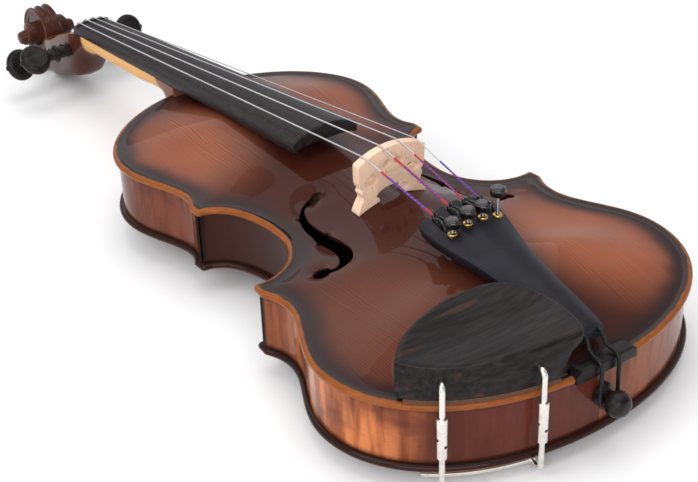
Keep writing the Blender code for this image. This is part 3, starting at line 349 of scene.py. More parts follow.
def turned(profile, sides, axis, centre=(0.0, 0.0, 0.0), hollow=False, lobes=0, lobe_depth=0.0):
    """A solid of revolution from rows of place along the axis and radius.

    hollow joins the last row to the first, which makes a ring. lobes wave the radius.
    """
    place = {
        "x": lambda t, a, b: (t, a, b),
        "y": lambda t, a, b: (b, t, a),
        "z": lambda t, a, b: (a, b, t),
    }[axis]
    rings = []
    for along, radius in profile:
        ring = []
        for i in range(sides):
            angle = 2.0 * math.pi * (i + 0.5) / sides
            reach = radius * (1.0 + lobe_depth * math.cos(lobes * angle))
            point = place(along, reach * math.cos(angle), reach * math.sin(angle))
            ring.append(tuple(a + b for a, b in zip(point, centre)))
        rings.append(ring)
    return loft(rings, caps=not hollow, loop=hollow)


def tube(points, radius, sides):
    """A round rod along a path. radius is a number, or one for each point."""
    path = [Vector(point) for point in points]
    radii = radius if isinstance(radius, (list, tuple)) else [radius] * len(path)
    rings = []
    side = None
    for i, point in enumerate(path):
        ahead = (path[min(i + 1, len(path) - 1)] - path[max(i - 1, 0)]).normalized()
        if side is None:
            side = ahead.cross(Vector((0.0, 0.0, 1.0)))
            if side.length < 0.2:
                side = ahead.cross(Vector((1.0, 0.0, 0.0)))
        side = (side - ahead * side.dot(ahead)).normalized()
        up = side.cross(ahead)
        angles = [2.0 * math.pi * k / sides for k in range(sides)]
        rings.append([tuple(point + (side * math.cos(a) + up * math.sin(a)) * radii[i]) for a in angles])
    return loft(rings)


def smooth_path(points, spacing):
    """Points about spacing apart on a smooth curve through the given ones."""
    along = runs_along(points)
    at = np.linspace(0.0, along[-1], max(int(along[-1] / spacing), 2) + 1)
    return np.stack([table(list(zip(along, values)), at) for values in zip(*points)], axis=1).tolist()


def merged(*shapes):
    """Several bmeshes as one, without joining their surfaces."""
    whole = bmesh.new()
    for shape in shapes:
        mesh = bpy.data.meshes.new("merged")
        shape.to_mesh(mesh)
        shape.free()
        whole.from_mesh(mesh)
        bpy.data.meshes.remove(mesh)
    return whole


def bevelled(shape, width, segments=2, angle=40.0):
    """The shape with its sharp edges rounded."""
    bmesh.ops.recalc_face_normals(shape, faces=shape.faces)
    least = math.radians(angle)
    sharp = [e for e in shape.edges if len(e.link_faces) == 2 and e.calc_face_angle(0.0) > least]
    bmesh.ops.bevel(
        shape, geom=sharp, offset=width, segments=segments, profile=0.6, affect="EDGES", clamp_overlap=True)
    return shape


def paint(piece, name, measure):
    """Stores a number per vertex, worked out from the vertices in violin millimetres."""
    co = np.empty(len(piece.data.vertices) * 3, np.float32)
    piece.data.vertices.foreach_get("co", co)
    upright = co.reshape(-1, 3).astype(float) @ np.array(Matrix.Rotation(REST_PITCH, 3, "X")) / MM
    values = np.asarray(measure(upright), np.float32)
    piece.data.attributes.new(name, "FLOAT", "POINT").data.foreach_set("value", values)


# ---------------------------------------------------------------- finishes

class Finish:
    """A material under construction. Each method adds a node and returns its output socket."""

    def __init__(self, name, **settings):
        self.material = bpy.data.materials.new(name)
        self.material.use_nodes = True
        self.tree = self.material.node_tree
        self.shader = self.tree.nodes["Principled BSDF"]
        for socket, value in settings.items():
            self.shader.inputs[socket.replace("_", " ")].default_value = value

    def feed(self, socket, value):
        if isinstance(value, bpy.types.NodeSocket):
            self.tree.links.new(value, socket)
        else:
            socket.default_value = value

    def add(self, kind, inputs, output=0, **settings):
        node = self.tree.nodes.new(kind)
        for key, value in settings.items():
            setattr(node, key, value)
        for key, value in inputs.items():
            self.feed(node.inputs[key], value)
        return node.outputs[output]

    def position(self, stretch=1.0):
        """The place on the piece in millimetres, times one number or one for each axis."""
        stretch = stretch if isinstance(stretch, tuple) else (stretch,) * 3
        laid = self.add("ShaderNodeTexCoord", {}, "Object")
        upright = self.add("ShaderNodeMapping", {"Vector": laid, "Rotation": (-REST_PITCH, 0.0, 0.0)})
        return self.add("ShaderNodeMapping", {"Vector": upright, "Scale": tuple(s / MM for s in stretch)})

    def axis(self, name):
        return self.add("ShaderNodeSeparateXYZ", {"Vector": self.position()}, name)

    def number(self, name):
        return self.add("ShaderNodeAttribute", {}, "Fac", attribute_name=name)

    def noise(self, stretch, detail=3.0, roughness=0.55):
        inputs = {"Vector": self.position(stretch), "Scale": 1.0, "Detail": detail, "Roughness": roughness}
        return self.add("ShaderNodeTexNoise", inputs)

    def math(self, operation, a, b=0.0, clamp=False):
        return self.add("ShaderNodeMath", {0: a, 1: b}, operation=operation, use_clamp=clamp)

    def times(self, a, b, clamp=False):
        return self.math("MULTIPLY", a, b, clamp)

    def plus(self, a, b):
        return self.math("ADD", a, b)

    def window(self, value, low, high):
        """0 below low, 1 above high, smooth between. low may be the greater, which turns it round."""
        inputs = {"Value": value, "From Min": low, "From Max": high}
        return self.add("ShaderNodeMapRange", inputs, interpolation_type="SMOOTHSTEP")

    def scaled(self, value, low, high):
        """A 0 to 1 value moved to low to high."""
        return self.add("ShaderNodeMapRange", {"Value": value, "To Min": low, "To Max": high})

    def blend(self, share, a, b, kind="MIX"):
        """Colour a, turning into b as share goes to 1."""
        a, b = (c if isinstance(c, bpy.types.NodeSocket) else (*c, 1.0) for c in (a, b))
        return self.add("ShaderNodeMix", {0: share, 6: a, 7: b}, 2, data_type="RGBA", blend_type=kind)

    def bump(self, height, distance, strength=1.0):
        """Relief of the given depth in millimetres."""
        inputs = {"Height": height, "Distance": distance * MM, "Strength": strength}
        self.feed(self.shader.inputs["Normal"], self.add("ShaderNodeBump", inputs))

    def colour(self, value):
        self.feed(self.shader.inputs["Base Color"], value)

    def rough(self, noise, low, high):
        self.feed(self.shader.inputs["Roughness"], self.scaled(noise, low, high))


LACQUER_COAT = 0.65
LACQUER = {
    "Specular_IOR_Level": 0.03,
    "Coat_Weight": LACQUER_COAT,
    "Coat_Roughness": 0.03,
    "Coat_IOR": 1.27,
}


def lines(finish, coordinate, spacing, wander, sharpness=0.55):
    """Thin dark lines across a coordinate in millimetres, their spacing drifting with wander."""
    phase = finish.times(finish.plus(coordinate, wander), 2.0 * math.pi / spacing)
    return finish.window(finish.math("SINE", phase), sharpness, 1.0)


def belly_finish():
    """Spruce under a shaded lacquer: near black by the edge, amber in the bouts, worn at the rim."""
    f = Finish("belly_lacquer", **LACQUER)
    edge, glow = f.number("edge_mm"), f.number("glow")
    drift = f.noise(0.03, 2.0)
    fine = f.noise((0.9, 0.035, 0.0), 4.0)
    wander = f.times(f.noise((0.05, 0.006, 0.0), 2.0), 14.0)
    grain = lines(f, f.axis("X"), 1.25, wander)
    amber = f.blend(fine, (0.25, 0.070, 0.032), (0.36, 0.110, 0.052))
    amber = f.blend(f.times(grain, 0.7), amber, (0.13, 0.034, 0.013))
    maroon = f.blend(f.noise((0.02, 0.012, 0.0), 3.0), (0.030, 0.007, 0.005), (0.060, 0.014, 0.008))
    maroon = f.blend(f.times(grain, 0.35), maroon, (0.028, 0.006, 0.004))
    glowing = f.times(glow, f.scaled(drift, 0.75, 1.2), clamp=True)
    field = f.blend(glowing, maroon, amber)
    wavering = f.plus(edge, f.scaled(drift, -5.0, 5.0))
    field = f.blend(f.window(wavering, 17.0, 6.0), field, (0.022, 0.011, 0.010))
    worn = f.blend(f.noise((0.12, 0.12, 0.3), 4.0, 0.65), (0.34, 0.105, 0.020), (0.12, 0.026, 0.006))
    ragged = f.scaled(f.noise(0.15, 3.0), -0.9, 0.9)
    f.colour(f.blend(f.window(f.plus(edge, ragged), 2.7, 1.7), field, worn))
    f.rough(fine, 0.26, 0.40)
    f.bump(f.plus(grain, f.times(fine, 0.6)), 0.012, 0.35)
    return f.material


def f_edge_and_inner_shade_finish():
    """Near black, for the cut walls of the f-holes and the plates' inner skins, where it is painted shade
    seen through the f-holes.
    """
    f = Finish("f_hole_edge_and_inner_shade", **{**LACQUER, "Coat_Weight": 0.5})
    f.colour(f.blend(f.noise((0.3, 0.05, 1.0), 4.0), (0.010, 0.006, 0.005), (0.05, 0.018, 0.008)))
    f.rough(f.noise(0.5), 0.3, 0.5)
    return f.material


def flame(finish, along, across, low, high):
    """The bands of flamed maple, from two places that are already scaled to the bands' size."""
    place = finish.add("ShaderNodeCombineXYZ", {"X": along, "Y": across})
    inputs = {"Vector": place, "Scale": 1.0, "Detail": 3.0, "Roughness": 0.5}
    return finish.window(finish.add("ShaderNodeTexNoise", inputs), low, high)


def back_finish():
    """Flamed maple in two halves, shaded dark to the edge."""
    f = Finish("back_lacquer", **LACQUER)
    edge = f.number("edge_mm")
    lean = f.times(f.math("ABSOLUTE", f.axis("X")), 0.22)
    along = f.times(f.plus(f.axis("Y"), lean), 0.17)
    bands = flame(f, f.times(f.axis("X"), 0.02), along, 0.38, 0.62)
    fine = f.noise((0.8, 0.04, 0.2), 4.0)
    light = f.blend(fine, (0.26, 0.060, 0.009), (0.36, 0.095, 0.016))
    field = f.blend(bands, light, (0.11, 0.022, 0.005))
    seam = f.window(f.math("ABSOLUTE", f.axis("X")), 0.35, 0.1)
    field = f.blend(f.times(seam, 0.7), field, (0.02, 0.006, 0.003))
    drift = f.noise(0.03, 2.0)
    wavering = f.plus(edge, f.scaled(drift, -6.0, 6.0))
    field = f.blend(f.window(wavering, 40.0, 10.0), field, (0.022, 0.008, 0.006))
    worn = f.blend(f.noise((0.12, 0.12, 0.3), 4.0, 0.65), (0.34, 0.085, 0.012), (0.10, 0.022, 0.005))
    field = f.blend(f.number("wear"), field, worn)
    f.colour(field)
    f.rough(fine, 0.26, 0.40)
    f.bump(fine, 0.012, 0.3)
    return f.material


def rib_finish():
    """Bent maple strips: flame across them, amber where the shading thins, dark at the corner joints, and
    painted shade from the "dark" number that darkens the waist ribs most.
    """
    f = Finish("rib_lacquer", **LACQUER)
    drift = f.noise((0.022, 0.022, 0.03), 3.0)
    along = f.times(f.number("along_mm"), 0.16)
    bands = flame(f, along, f.times(f.axis("Z"), 0.02), 0.36, 0.64)
    fine = f.noise((0.2, 0.2, 1.1), 4.0)
    brown = f.blend(fine, (0.090, 0.021, 0.013), (0.135, 0.033, 0.019))
    brown = f.blend(f.times(bands, 0.45), brown, (0.055, 0.011, 0.005))
    amber = f.blend(fine, (0.46, 0.132, 0.043), (0.62, 0.215, 0.076))
    amber = f.blend(f.times(bands, 0.8), amber, (0.17, 0.035, 0.006))
    glow = f.times(f.window(drift, 0.30, 0.52), f.number("glow"))
    # The "dark" number is painted shade: it darkens the brown, most on the waist ribs.
    field = f.blend(glow, f.blend(f.number("dark"), brown, (0.022, 0.006, 0.003)), amber)
    field = f.blend(f.window(f.number("end_mm"), 3.2, 1.0), field, (0.012, 0.005, 0.004))
    shade = f.window(f.math("ABSOLUTE", f.plus(f.axis("Z"), -RIB_MIDDLE)), 12.0, 15.5)
    f.colour(f.blend(f.times(shade, 0.75), field, (0.020, 0.006, 0.004)))
    f.rough(fine, 0.24, 0.38)
    f.bump(fine, 0.010, 0.3)
    return f.material


def head_finish():
    """The lacquered heel, pegbox and scroll, worn to orange along their sharp edges."""
    f = Finish("head_lacquer", **LACQUER)
    drift = f.noise(0.06, 3.0)
    fine = f.noise((0.5, 0.08, 0.4), 4.0)
    brown = f.blend(drift, (0.030, 0.010, 0.008), (0.068, 0.020, 0.013))
    brown = f.blend(f.times(fine, 0.3), brown, (0.10, 0.030, 0.016))
    worn = f.blend(fine, (0.17, 0.055, 0.018), (0.09, 0.026, 0.011))
    wear = f.times(f.number("wear"), f.scaled(f.noise(0.3, 3.0), 0.2, 1.3), clamp=True)
    bare = f.blend(f.noise((0.7, 0.03, 0.7), 4.0), (0.62, 0.33, 0.12), (0.80, 0.47, 0.20))
    flecks = f.window(f.noise((0.9, 0.10, 0.9), 3.0), 0.60, 0.72)
    bare = f.blend(f.times(flecks, 0.35), bare, (0.50, 0.22, 0.07))
    feather = f.plus(f.axis("Y"), f.scaled(f.noise(0.35, 3.0), -2.5, 2.5))
    raw = f.times(f.window(feather, 372.0, 376.0), f.window(feather, 484.0, 479.0))
    foot = f.window(f.axis("Y"), 392.0, 378.0)
    shaded = f.blend(f.times(foot, 0.8), f.blend(wear, brown, worn), (0.21, 0.082, 0.046))
    f.colour(f.blend(raw, shaded, bare))
    satin = f.times(raw, 0.16)
    f.feed(f.shader.inputs["Roughness"], f.plus(f.scaled(fine, 0.26, 0.36), satin))
    thin = f.math("SUBTRACT", 1.0, f.times(foot, 0.7))
    f.feed(f.shader.inputs["Coat Weight"], f.times(thin, f.scaled(raw, LACQUER_COAT, 0.08)))
    f.bump(fine, 0.02, 0.4)
    return f.material


def ebony_finish(name, stretch, tone, low, high, streak=0.0):
    """Satin ebony: near black, with faint brown and grey streaks along the grain."""
    f = Finish(name, Specular_IOR_Level=0.15)
    grain = f.noise(stretch, 5.0, 0.62)
    dark = (0.013 * tone, 0.009 * tone, 0.009 * tone)
    grey = (0.050 * tone, 0.038 * tone, 0.038 * tone)
    field = f.blend(f.window(grain, 0.34, 0.72), dark, grey)
    if streak:
        vein = f.window(f.noise(tuple(0.35 * s for s in stretch), 2.0), 0.62, 0.72)
        field = f.blend(f.times(vein, streak), field, (0.16, 0.055, 0.018))
    f.colour(field)
    f.rough(grain, low, high)
    f.bump(grain, 0.012, 0.3)
    return f.material


def plastic_finish(name, colour, low, high, coat=0.0):
    """Moulded plastic with a fine eggshell texture and faint rubbing."""
    f = Finish(name, Specular_IOR_Level=0.17, Coat_Weight=coat, Coat_Roughness=0.05)
    skin = f.noise(2.6, 2.0)
    rub = f.noise((0.10, 0.05, 0.10), 4.0, 0.6)
    f.colour(f.blend(f.window(rub, 0.45, 0.75), colour, tuple(1.7 * c for c in colour)))
    f.rough(rub, low, high)
    f.bump(skin, 0.02, 0.3)
    return f.material


def metal_finish(name, colour, dull, low, high):
    """Plated or drawn metal with faint draw lines and dulled patches."""
    f = Finish(name, Metallic=1.0)
    patches = f.noise(0.5, 4.0, 0.6)
    f.colour(f.blend(f.window(patches, 0.45, 0.8), colour, dull))
    f.rough(patches, low, high)
    f.bump(f.noise((3.0, 3.0, 0.4), 2.0), 0.006, 0.3)
    return f.material


def bridge_finish():
    """Pale bare maple with short dark flecks standing upright in its face."""
    f = Finish("bridge_maple", Specular_IOR_Level=0.35)
    cloud = f.noise((0.08, 0.08, 0.10), 3.0)
    flecks = f.window(f.noise((1.5, 1.5, 0.28), 3.0, 0.6), 0.60, 0.70)
    rays = f.noise((2.2, 2.2, 0.16), 2.0)
    field = f.blend(cloud, (0.80, 0.53, 0.37), (0.88, 0.64, 0.48))
    field = f.blend(f.times(rays, 0.25), field, (0.58, 0.36, 0.22))
    f.colour(f.blend(f.times(flecks, 0.75), field, (0.42, 0.20, 0.085)))
    f.rough(cloud, 0.45, 0.6)
    f.bump(flecks, 0.02, 0.5)
    return f.material


def shaded_spruce_finish():
    """The blocks, linings, bar and post: spruce grain, darkened as painted shade so that the f-holes look
    black.
    """
    f = Finish("inner_spruce_painted_shade", Roughness=0.75)
    grain = lines(f, f.axis("X"), 1.6, f.times(f.noise((0.05, 0.02, 0.02)), 10.0))
    shaded_wood = f.blend(f.noise((0.1, 0.02, 0.1)), (0.10, 0.06, 0.035), (0.15, 0.09, 0.05))
    f.colour(f.blend(f.times(grain, 0.6), shaded_wood, (0.06, 0.035, 0.02)))
    f.bump(grain, 0.05, 0.4)
    return f.material


# Cork cells over a tone kept near black: painted shade in the gaps under the chinrest and under the
# bracket.
def shaded_cork_finish():
    f = Finish("cork", Roughness=0.88)
    cells = {"Vector": f.position(1.3), "Scale": 1.0}
    grains = f.add("ShaderNodeTexVoronoi", cells, "Distance")
    tone = f.noise(0.8, 4.0)
    field = f.blend(tone, (0.050, 0.021, 0.010), (0.105, 0.048, 0.022))
    f.colour(f.blend(f.window(grains, 0.25, 0.05), field, (0.020, 0.009, 0.005)))
    f.bump(grains, 0.12, 0.6)
    return f.material


def string_finish():
    """Flat wound string: a bright metal ribbon with its turns just visible."""
    f = Finish("string_metal", Metallic=1.0)
    turns = f.math("SINE", f.times(f.axis("Y"), 2.0 * math.pi / 0.55))
    tone = f.noise((0.05, 0.02, 0.05), 3.0)
    f.colour(f.blend(f.window(tone, 0.4, 0.8), (0.72, 0.70, 0.73), (0.54, 0.52, 0.55)))
    f.rough(tone, 0.22, 0.36)
    f.bump(turns, 0.02, 0.4)
    return f.material


def silk_finish(name, first, second, end_colour, ends):
    """Silk wrapped round a string's end: two threads in a helix, and one alone outside the ends."""
    f = Finish(name, Roughness=0.72, Specular_IOR_Level=0.2)
    helix = f.plus(f.times(f.axis("Y"), 1.0 / 2.6), f.number("around"))
    field = f.blend(f.window(f.math("FRACT", helix), 0.60, 0.68), first, second)
    near_low = f.window(f.axis("Y"), ends[0] + 0.4, ends[0])
    near_high = f.window(f.axis("Y"), ends[1], ends[1] + 0.4)
    field = f.blend(f.math("MAXIMUM", near_low, near_high), field, end_colour)
    fuzz = f.noise(3.0, 3.0)
    f.colour(f.blend(f.times(fuzz, 0.10), field, (0.65, 0.55, 0.65)))
    f.bump(f.math("SINE", f.times(helix, 2.0 * math.pi * 7.0)), 0.06, 0.7)
    return f.material


def floor_finish():
    f = Finish("studio_floor", Roughness=0.85, Specular_IOR_Level=0.15)
    f.colour(f.blend(f.noise(0.004, 2.0), (0.86, 0.86, 0.87), (0.89, 0.89, 0.89)))
    return f.material


BELLY_LACQUER = belly_finish()
F_EDGE_AND_INNER_SHADE = f_edge_and_inner_shade_finish()
BACK_LACQUER = back_finish()
RIB_LACQUER = rib_finish()
HEAD_LACQUER = head_finish()
BOARD_EBONY = ebony_finish("board_ebony", (1.1, 0.02, 1.1), 0.55, 0.34, 0.48)
PEG_EBONY = ebony_finish("peg_ebony", (0.05, 0.30, 0.30), 0.42, 0.26, 0.34)
REST_EBONY = ebony_finish("rest_ebony", (0.05, 0.55, 0.4), 0.40, 0.30, 0.42, streak=0.18)
TRIM_EBONY = ebony_finish("trim_ebony", (0.06, 0.8, 0.8), 0.40, 0.26, 0.38)
TAIL_PLASTIC = plastic_finish("tailpiece_plastic", (0.010, 0.009, 0.013), 0.36, 0.46)
GLOSS_PLASTIC = plastic_finish("tuner_plastic", (0.003, 0.003, 0.003), 0.30, 0.40, coat=0.8)
NICKEL = metal_finish("nickel_plate", (0.80, 0.77, 0.71), (0.60, 0.56, 0.50), 0.10, 0.24)
DARK_STEEL = metal_finish("screw_steel", (0.20, 0.20, 0.21), (0.10, 0.10, 0.10), 0.18, 0.30)
BRASS = metal_finish("turned_brass", (0.52, 0.34, 0.12), (0.30, 0.18, 0.07), 0.16, 0.30)
STRING_METAL = string_finish()
BRIDGE_MAPLE = bridge_finish()
SHADED_SPRUCE = shaded_spruce_finish()
SHADED_CORK = shaded_cork_finish()
TAILGUT_NYLON = plastic_finish("tailgut_nylon", (0.010, 0.010, 0.011), 0.28, 0.40)
RED, VIOLET, LILAC = (0.45, 0.012, 0.022), (0.075, 0.022, 0.26), (0.22, 0.06, 0.30)
SILK_END = {"g": 144.0, "d": 146.5, "a": 144.0, "e": 136.0}
SILK = {
    "g": silk_finish("silk_g", VIOLET, LILAC, RED, (110.5, 139.0)),
    "d": silk_finish("silk_d", VIOLET, RED, RED, (110.5, 138.0)),
    "a": silk_finish("silk_a", VIOLET, RED, RED, (110.5, 139.0)),
    "e": silk_finish("silk_e", VIOLET, LILAC, VIOLET, (106.0, 131.0)),
}
WHOLE_HEAD = (478.0, 600.0)
HEAD_SILK = {
    name: silk_finish(f"head_silk_{name}", VIOLET, second, RED, WHOLE_HEAD)
    for name, second in (("g", LILAC), ("d", RED), ("a", RED))
}


# ---------------------------------------------------------------- body

def half_segments(steps):
    """The treble half of the plates' outline, as stretches that meet at the corners."""
    lower_x, lower_y = LOWER_CORNER
    upper_x, upper_y = UPPER_CORNER
    lower_tip = (lower_x - 1.5, lower_y - 4.0), (lower_x - 2.2, lower_y + 4.2)
    upper_tip = (upper_x - 2.0, upper_y - 4.0), (upper_x - 1.8, upper_y + 4.0)
    (bout_x, bout_y), (waist_x, waist_y), (top_x, top_y) = LOWER_BOUT, WAIST, UPPER_BOUT
    end = (0.0, BODY_LENGTH)
    lower = [(0.0, 0.0)]
    lower += bezier(lower[0], (60.0, 0.0), (bout_x, bout_y - 42.0), LOWER_BOUT, steps + 8)
    into = (lower_x - 16.0, lower_y - 30.0)
    lower += bezier(LOWER_BOUT, (bout_x, bout_y + 30.0), into, lower_tip[0], steps)
    waist = [lower_tip[1]]
    out = (lower_x - 21.0, lower_y + 0.5)
    waist += bezier(waist[0], out, (waist_x, waist_y - 20.0), WAIST, steps)
    into = (upper_x - 18.0, upper_y - 4.0)
    waist += bezier(WAIST, (waist_x, waist_y + 20.0), into, upper_tip[0], steps)
    upper = [upper_tip[1]]
    out = (upper_x - 13.0, upper_y + 20.0)
    upper += bezier(upper[0], out, (top_x, top_y - 24.0), UPPER_BOUT, steps)
    upper += bezier(UPPER_BOUT, (top_x, top_y + 33.0), (44.0, BODY_LENGTH), end, steps + 6)
    return lower, waist, upper


def edge_line(steps=22, corner_radius=2.3):
    """The treble half of the outline with its four corner edges rounded."""
    lower, waist, upper = half_segments(steps)
    line = lower + waist + upper
    for tip in (lower[-1], waist[0], waist[-1], upper[0]):
        line = fillet(line, line.index(tip), corner_radius)
    return line


EDGE_LINE = edge_line()
ARCH_LINE = sum(half_segments(12), [])


def arch(points, crown):
    """Height of an arched plate over its edge, with a hollow channel inside the rim."""
    points = np.asarray(points, float)
    folded = np.abs(points[:, :1]) * (1.0, 0.0) + points[:, 1:2] * (0.0, 1.0)
    spine_y = np.clip(points[:, 1], 4.0, BODY_LENGTH - 4.0)
    across = distances(folded, ARCH_LINE)
    spine = np.stack([np.zeros_like(spine_y), spine_y], axis=1)
    widest = distances(spine, ARCH_LINE)
    share = np.clip((across - CHANNEL) / np.maximum(widest - CHANNEL, 1.0), 0.0, 1.0)
    end = np.clip((np.minimum(spine_y, BODY_LENGTH - spine_y) - CHANNEL) / 96.0, 0.0, 1.0)
    ridge = crown * np.sin(math.pi / 2 * end) ** 1.2
    channel = 0.45 * smooth(2.0, 4.2, across) * smooth(13.0, 5.0, across)
    return ridge * np.sin(math.pi / 2 * share) ** 2 - channel


def edge_distance(points):
    points = np.asarray(points, float)
    folded = np.stack([np.abs(points[:, 0]), points[:, 1]], axis=1)
    return distances(folded, EDGE_LINE)


def belly_top(x, y):
    return float(arch([(x, y)], ARCH)[0])


def level(height):
    """A height that is the same at every point."""
    return lambda flat: np.full(len(flat), height)


def rim_profile(low, high):
    """Insets and heights round the half-round edge of a plate, from below to above."""
    middle, half = (low + high) / 2, (high - low) / 2
    rows = []
    for i in range(1, 12):
        angle = math.pi * (i / 12 - 0.5)
        rows.append((RIM_INSET * (1.0 - math.cos(angle)), level(middle + half * math.sin(angle))))
    return rows


def grid_points(border, holes, spacing):
    """A triangular grid well inside the border and clear of the holes, and rings that follow the rim."""
    border_line = border + border[:1]
    low, high = np.min(border, axis=0), np.max(border, axis=0)
    rows = np.arange(low[1] + spacing / 2, high[1], spacing * 0.866)
    points = []
    for k, y in enumerate(rows):
        xs = np.arange(low[0] + (spacing / 2 if k % 2 else 0.0), high[0], spacing)
        points += [(x, y) for x in xs]
    points = np.array(points)
    points = points[inside(points, border)]
    points = points[distances(points, border_line) > 9.0]
    for inset in (1.3, 2.9, 4.9, 7.2):
        ring = np.array(offset(border, inset, closed=True))
        keep = inside(ring, border) & (distances(ring, border_line) > inset - 0.35)
        points = np.vstack([points, ring[keep]])
    for hole in holes:
        points = points[~inside(points, hole)]
        points = points[distances(points, hole + hole[:1]) > 0.45 * spacing]
    return points


def plate_plan(border, holes, spacing):
    """The plate seen from above: its points, and the faces between border and holes."""
    points = [Vector(p) for p in border]
    edges = [(i, (i + 1) % len(border)) for i in range(len(border))]
    for hole in holes:
        first = len(points)
        points += [Vector(p) for p in hole]
        edges += [(first + i, first + (i + 1) % len(hole)) for i in range(len(hole))]
    points += [Vector(p) for p in grid_points(border, holes, spacing)]
    verts, _, faces, _, _, _ = delaunay_2d_cdt(points, edges, [], 0, 1e-4)
    flat = np.array([tuple(v) for v in verts])
    centres = np.array([flat[list(face)].mean(axis=0) for face in faces])
    kept = inside(centres, border)
    for hole in holes:
        kept &= ~inside(centres, hole)
    return flat, [face for face, keep in zip(faces, kept) if keep]


def plate_shell(outline, holes, spacing, outer, inner, rim, inner_finish=1):
    """A plate: outer and inner give heights at points, and rim has an inset and such heights for each ring.

    The inner skin takes finish inner_finish, and the holes' walls take finish 1.
    """
    flat, faces = plate_plan(offset(outline, RIM_INSET, closed=True), holes, spacing)
    shape = bmesh.new()
    skins = []
    for heights in (outer(flat), inner(flat)):
        skins.append([shape.verts.new((x, y, z)) for (x, y), z in zip(flat, heights)])
    for face in faces:
        shape.faces.new([skins[0][i] for i in face])
        shape.faces.new([skins[1][i] for i in reversed(face)]).material_index = inner_finish
    on_hole = np.zeros(len(flat), bool)
    for hole in holes:
        on_hole |= distances(flat, hole + hole[:1]) < 1e-3
    borders = {(a, b) for face in faces for a, b in zip(face, face[1:] + face[:1])}
    for a, b in borders:
        if (b, a) not in borders and on_hole[a] and on_hole[b]:
            wall = shape.faces.new((skins[0][b], skins[0][a], skins[1][a], skins[1][b]))
            wall.material_index = 1
    count = len(outline)
    rings = [skins[1][:count]]
    for inset, heights in rim:
        ring = np.array(offset(outline, inset, closed=True))
        rings.append([shape.verts.new((x, y, z)) for (x, y), z in zip(ring, heights(ring))])
    rings.append(skins[0][:count])
    for low, high in zip(rings, rings[1:]):
        for i in range(count):
            j = (i + 1) % count
            shape.faces.new((low[i], low[j], high[j], high[i]))
    bmesh.ops.delete(shape, geom=[v for v in shape.verts if not v.link_faces], context="VERTS")
    return shape


def relax_arch(shape, clear, rounds=8):
    """Evens out the arch's creases, away from the rim and the holes."""
    places = np.array([tuple(v.co) for v in shape.verts])
    free = [v for v, far in zip(list(shape.verts), edge_distance(places[:, :2]) > clear) if far]
    for _ in range(rounds):
        bmesh.ops.smooth_vert(shape, verts=free, factor=0.5, use_axis_z=True)


def f_hole(side):
    """The slot between its two round eyes, with the nicks at the bridge line."""
    ux, uy = UPPER_EYE
    lx, ly = LOWER_EYE
    points = arc(UPPER_EYE, UPPER_EYE_RADIUS, 60.0, 340.0, 18)
    points += bezier(points[-1], (ux + 8.5, uy + 0.2), (ux + 12.4, uy - 4.5), (37.6, 172.0), 9)
    points += [(37.9, 168.0), (37.8, 163.4), (36.3, 161.6), (37.8, 159.8), (37.6, 154.0), (37.4, 148.0)]
    points += bezier(points[-1], (37.6, 134.5), (43.0, 125.5), (lx - 2.0, ly - 4.4), 11)
    points += arc(LOWER_EYE, LOWER_EYE_RADIUS, 265.0, 548.0, 20)
    points += bezier(points[-1], (lx - 9.5, ly - 3.0), (lx - 14.5, ly + 2.5), (43.0, 150.0), 9)
    points += [(43.1, 154.0), (43.3, 158.2), (44.8, 160.0), (43.4, 161.8)]
    points += bezier(points[-1], (43.4, 180.0), (37.0, 192.8), (ux + 1.65, uy + 2.86), 12)[:-1]
    kept = [points[0]]
    for point in points[1:]:
        if math.dist(point, kept[-1]) > 0.15:
            kept.append(point)
    return kept if side == TREBLE else mirrored(kept)


def bout_glow(places):
    """Where the shading thins: a broad patch in each of the four bouts."""
    x, y = np.abs(places[:, 0]), places[:, 1]
    lower = np.sqrt(((x - 60.0) / 42.0) ** 2 + ((y - 76.0) / 62.0) ** 2)
    upper = np.sqrt(((x - 46.0) / 36.0) ** 2 + ((y - 284.0) / 56.0) ** 2)
    strength = mix(0.28, 1.0, smooth(-20.0, 20.0, places[:, 0]))
    return np.clip(strength * smooth(1.25, 0.35, lower) + 0.8 * smooth(1.25, 0.3, upper), 0.0, 1.0)


def hollow_depth(flat, crown):
    """How far a plate's inner face lies from the ribs' edge: nothing at the rim, its arch inside it."""
    return smooth(*HOLLOW, edge_distance(flat)) * np.maximum(arch(flat, crown) + EDGE - PLATE, 0.0)


def make_belly():
    shape = plate_shell(
        full_outline(EDGE_LINE), [f_hole(side) for side in SIDES.values()], 3.6,
        lambda flat: arch(flat, ARCH),
        lambda flat: hollow_depth(flat, ARCH) - EDGE,
        rim_profile(-EDGE, 0.0))
    relax_arch(shape, 14.0)
    # The inner skin and the f-holes' walls take the near-black finish; on the inner skin it is painted
    # shade seen through the f-holes.
    belly = add_piece("belly_plate", shape, [BELLY_LACQUER, F_EDGE_AND_INNER_SHADE], "violin", ["belly"])
    paint(belly, "edge_mm", edge_distance)
    paint(belly, "glow", bout_glow)


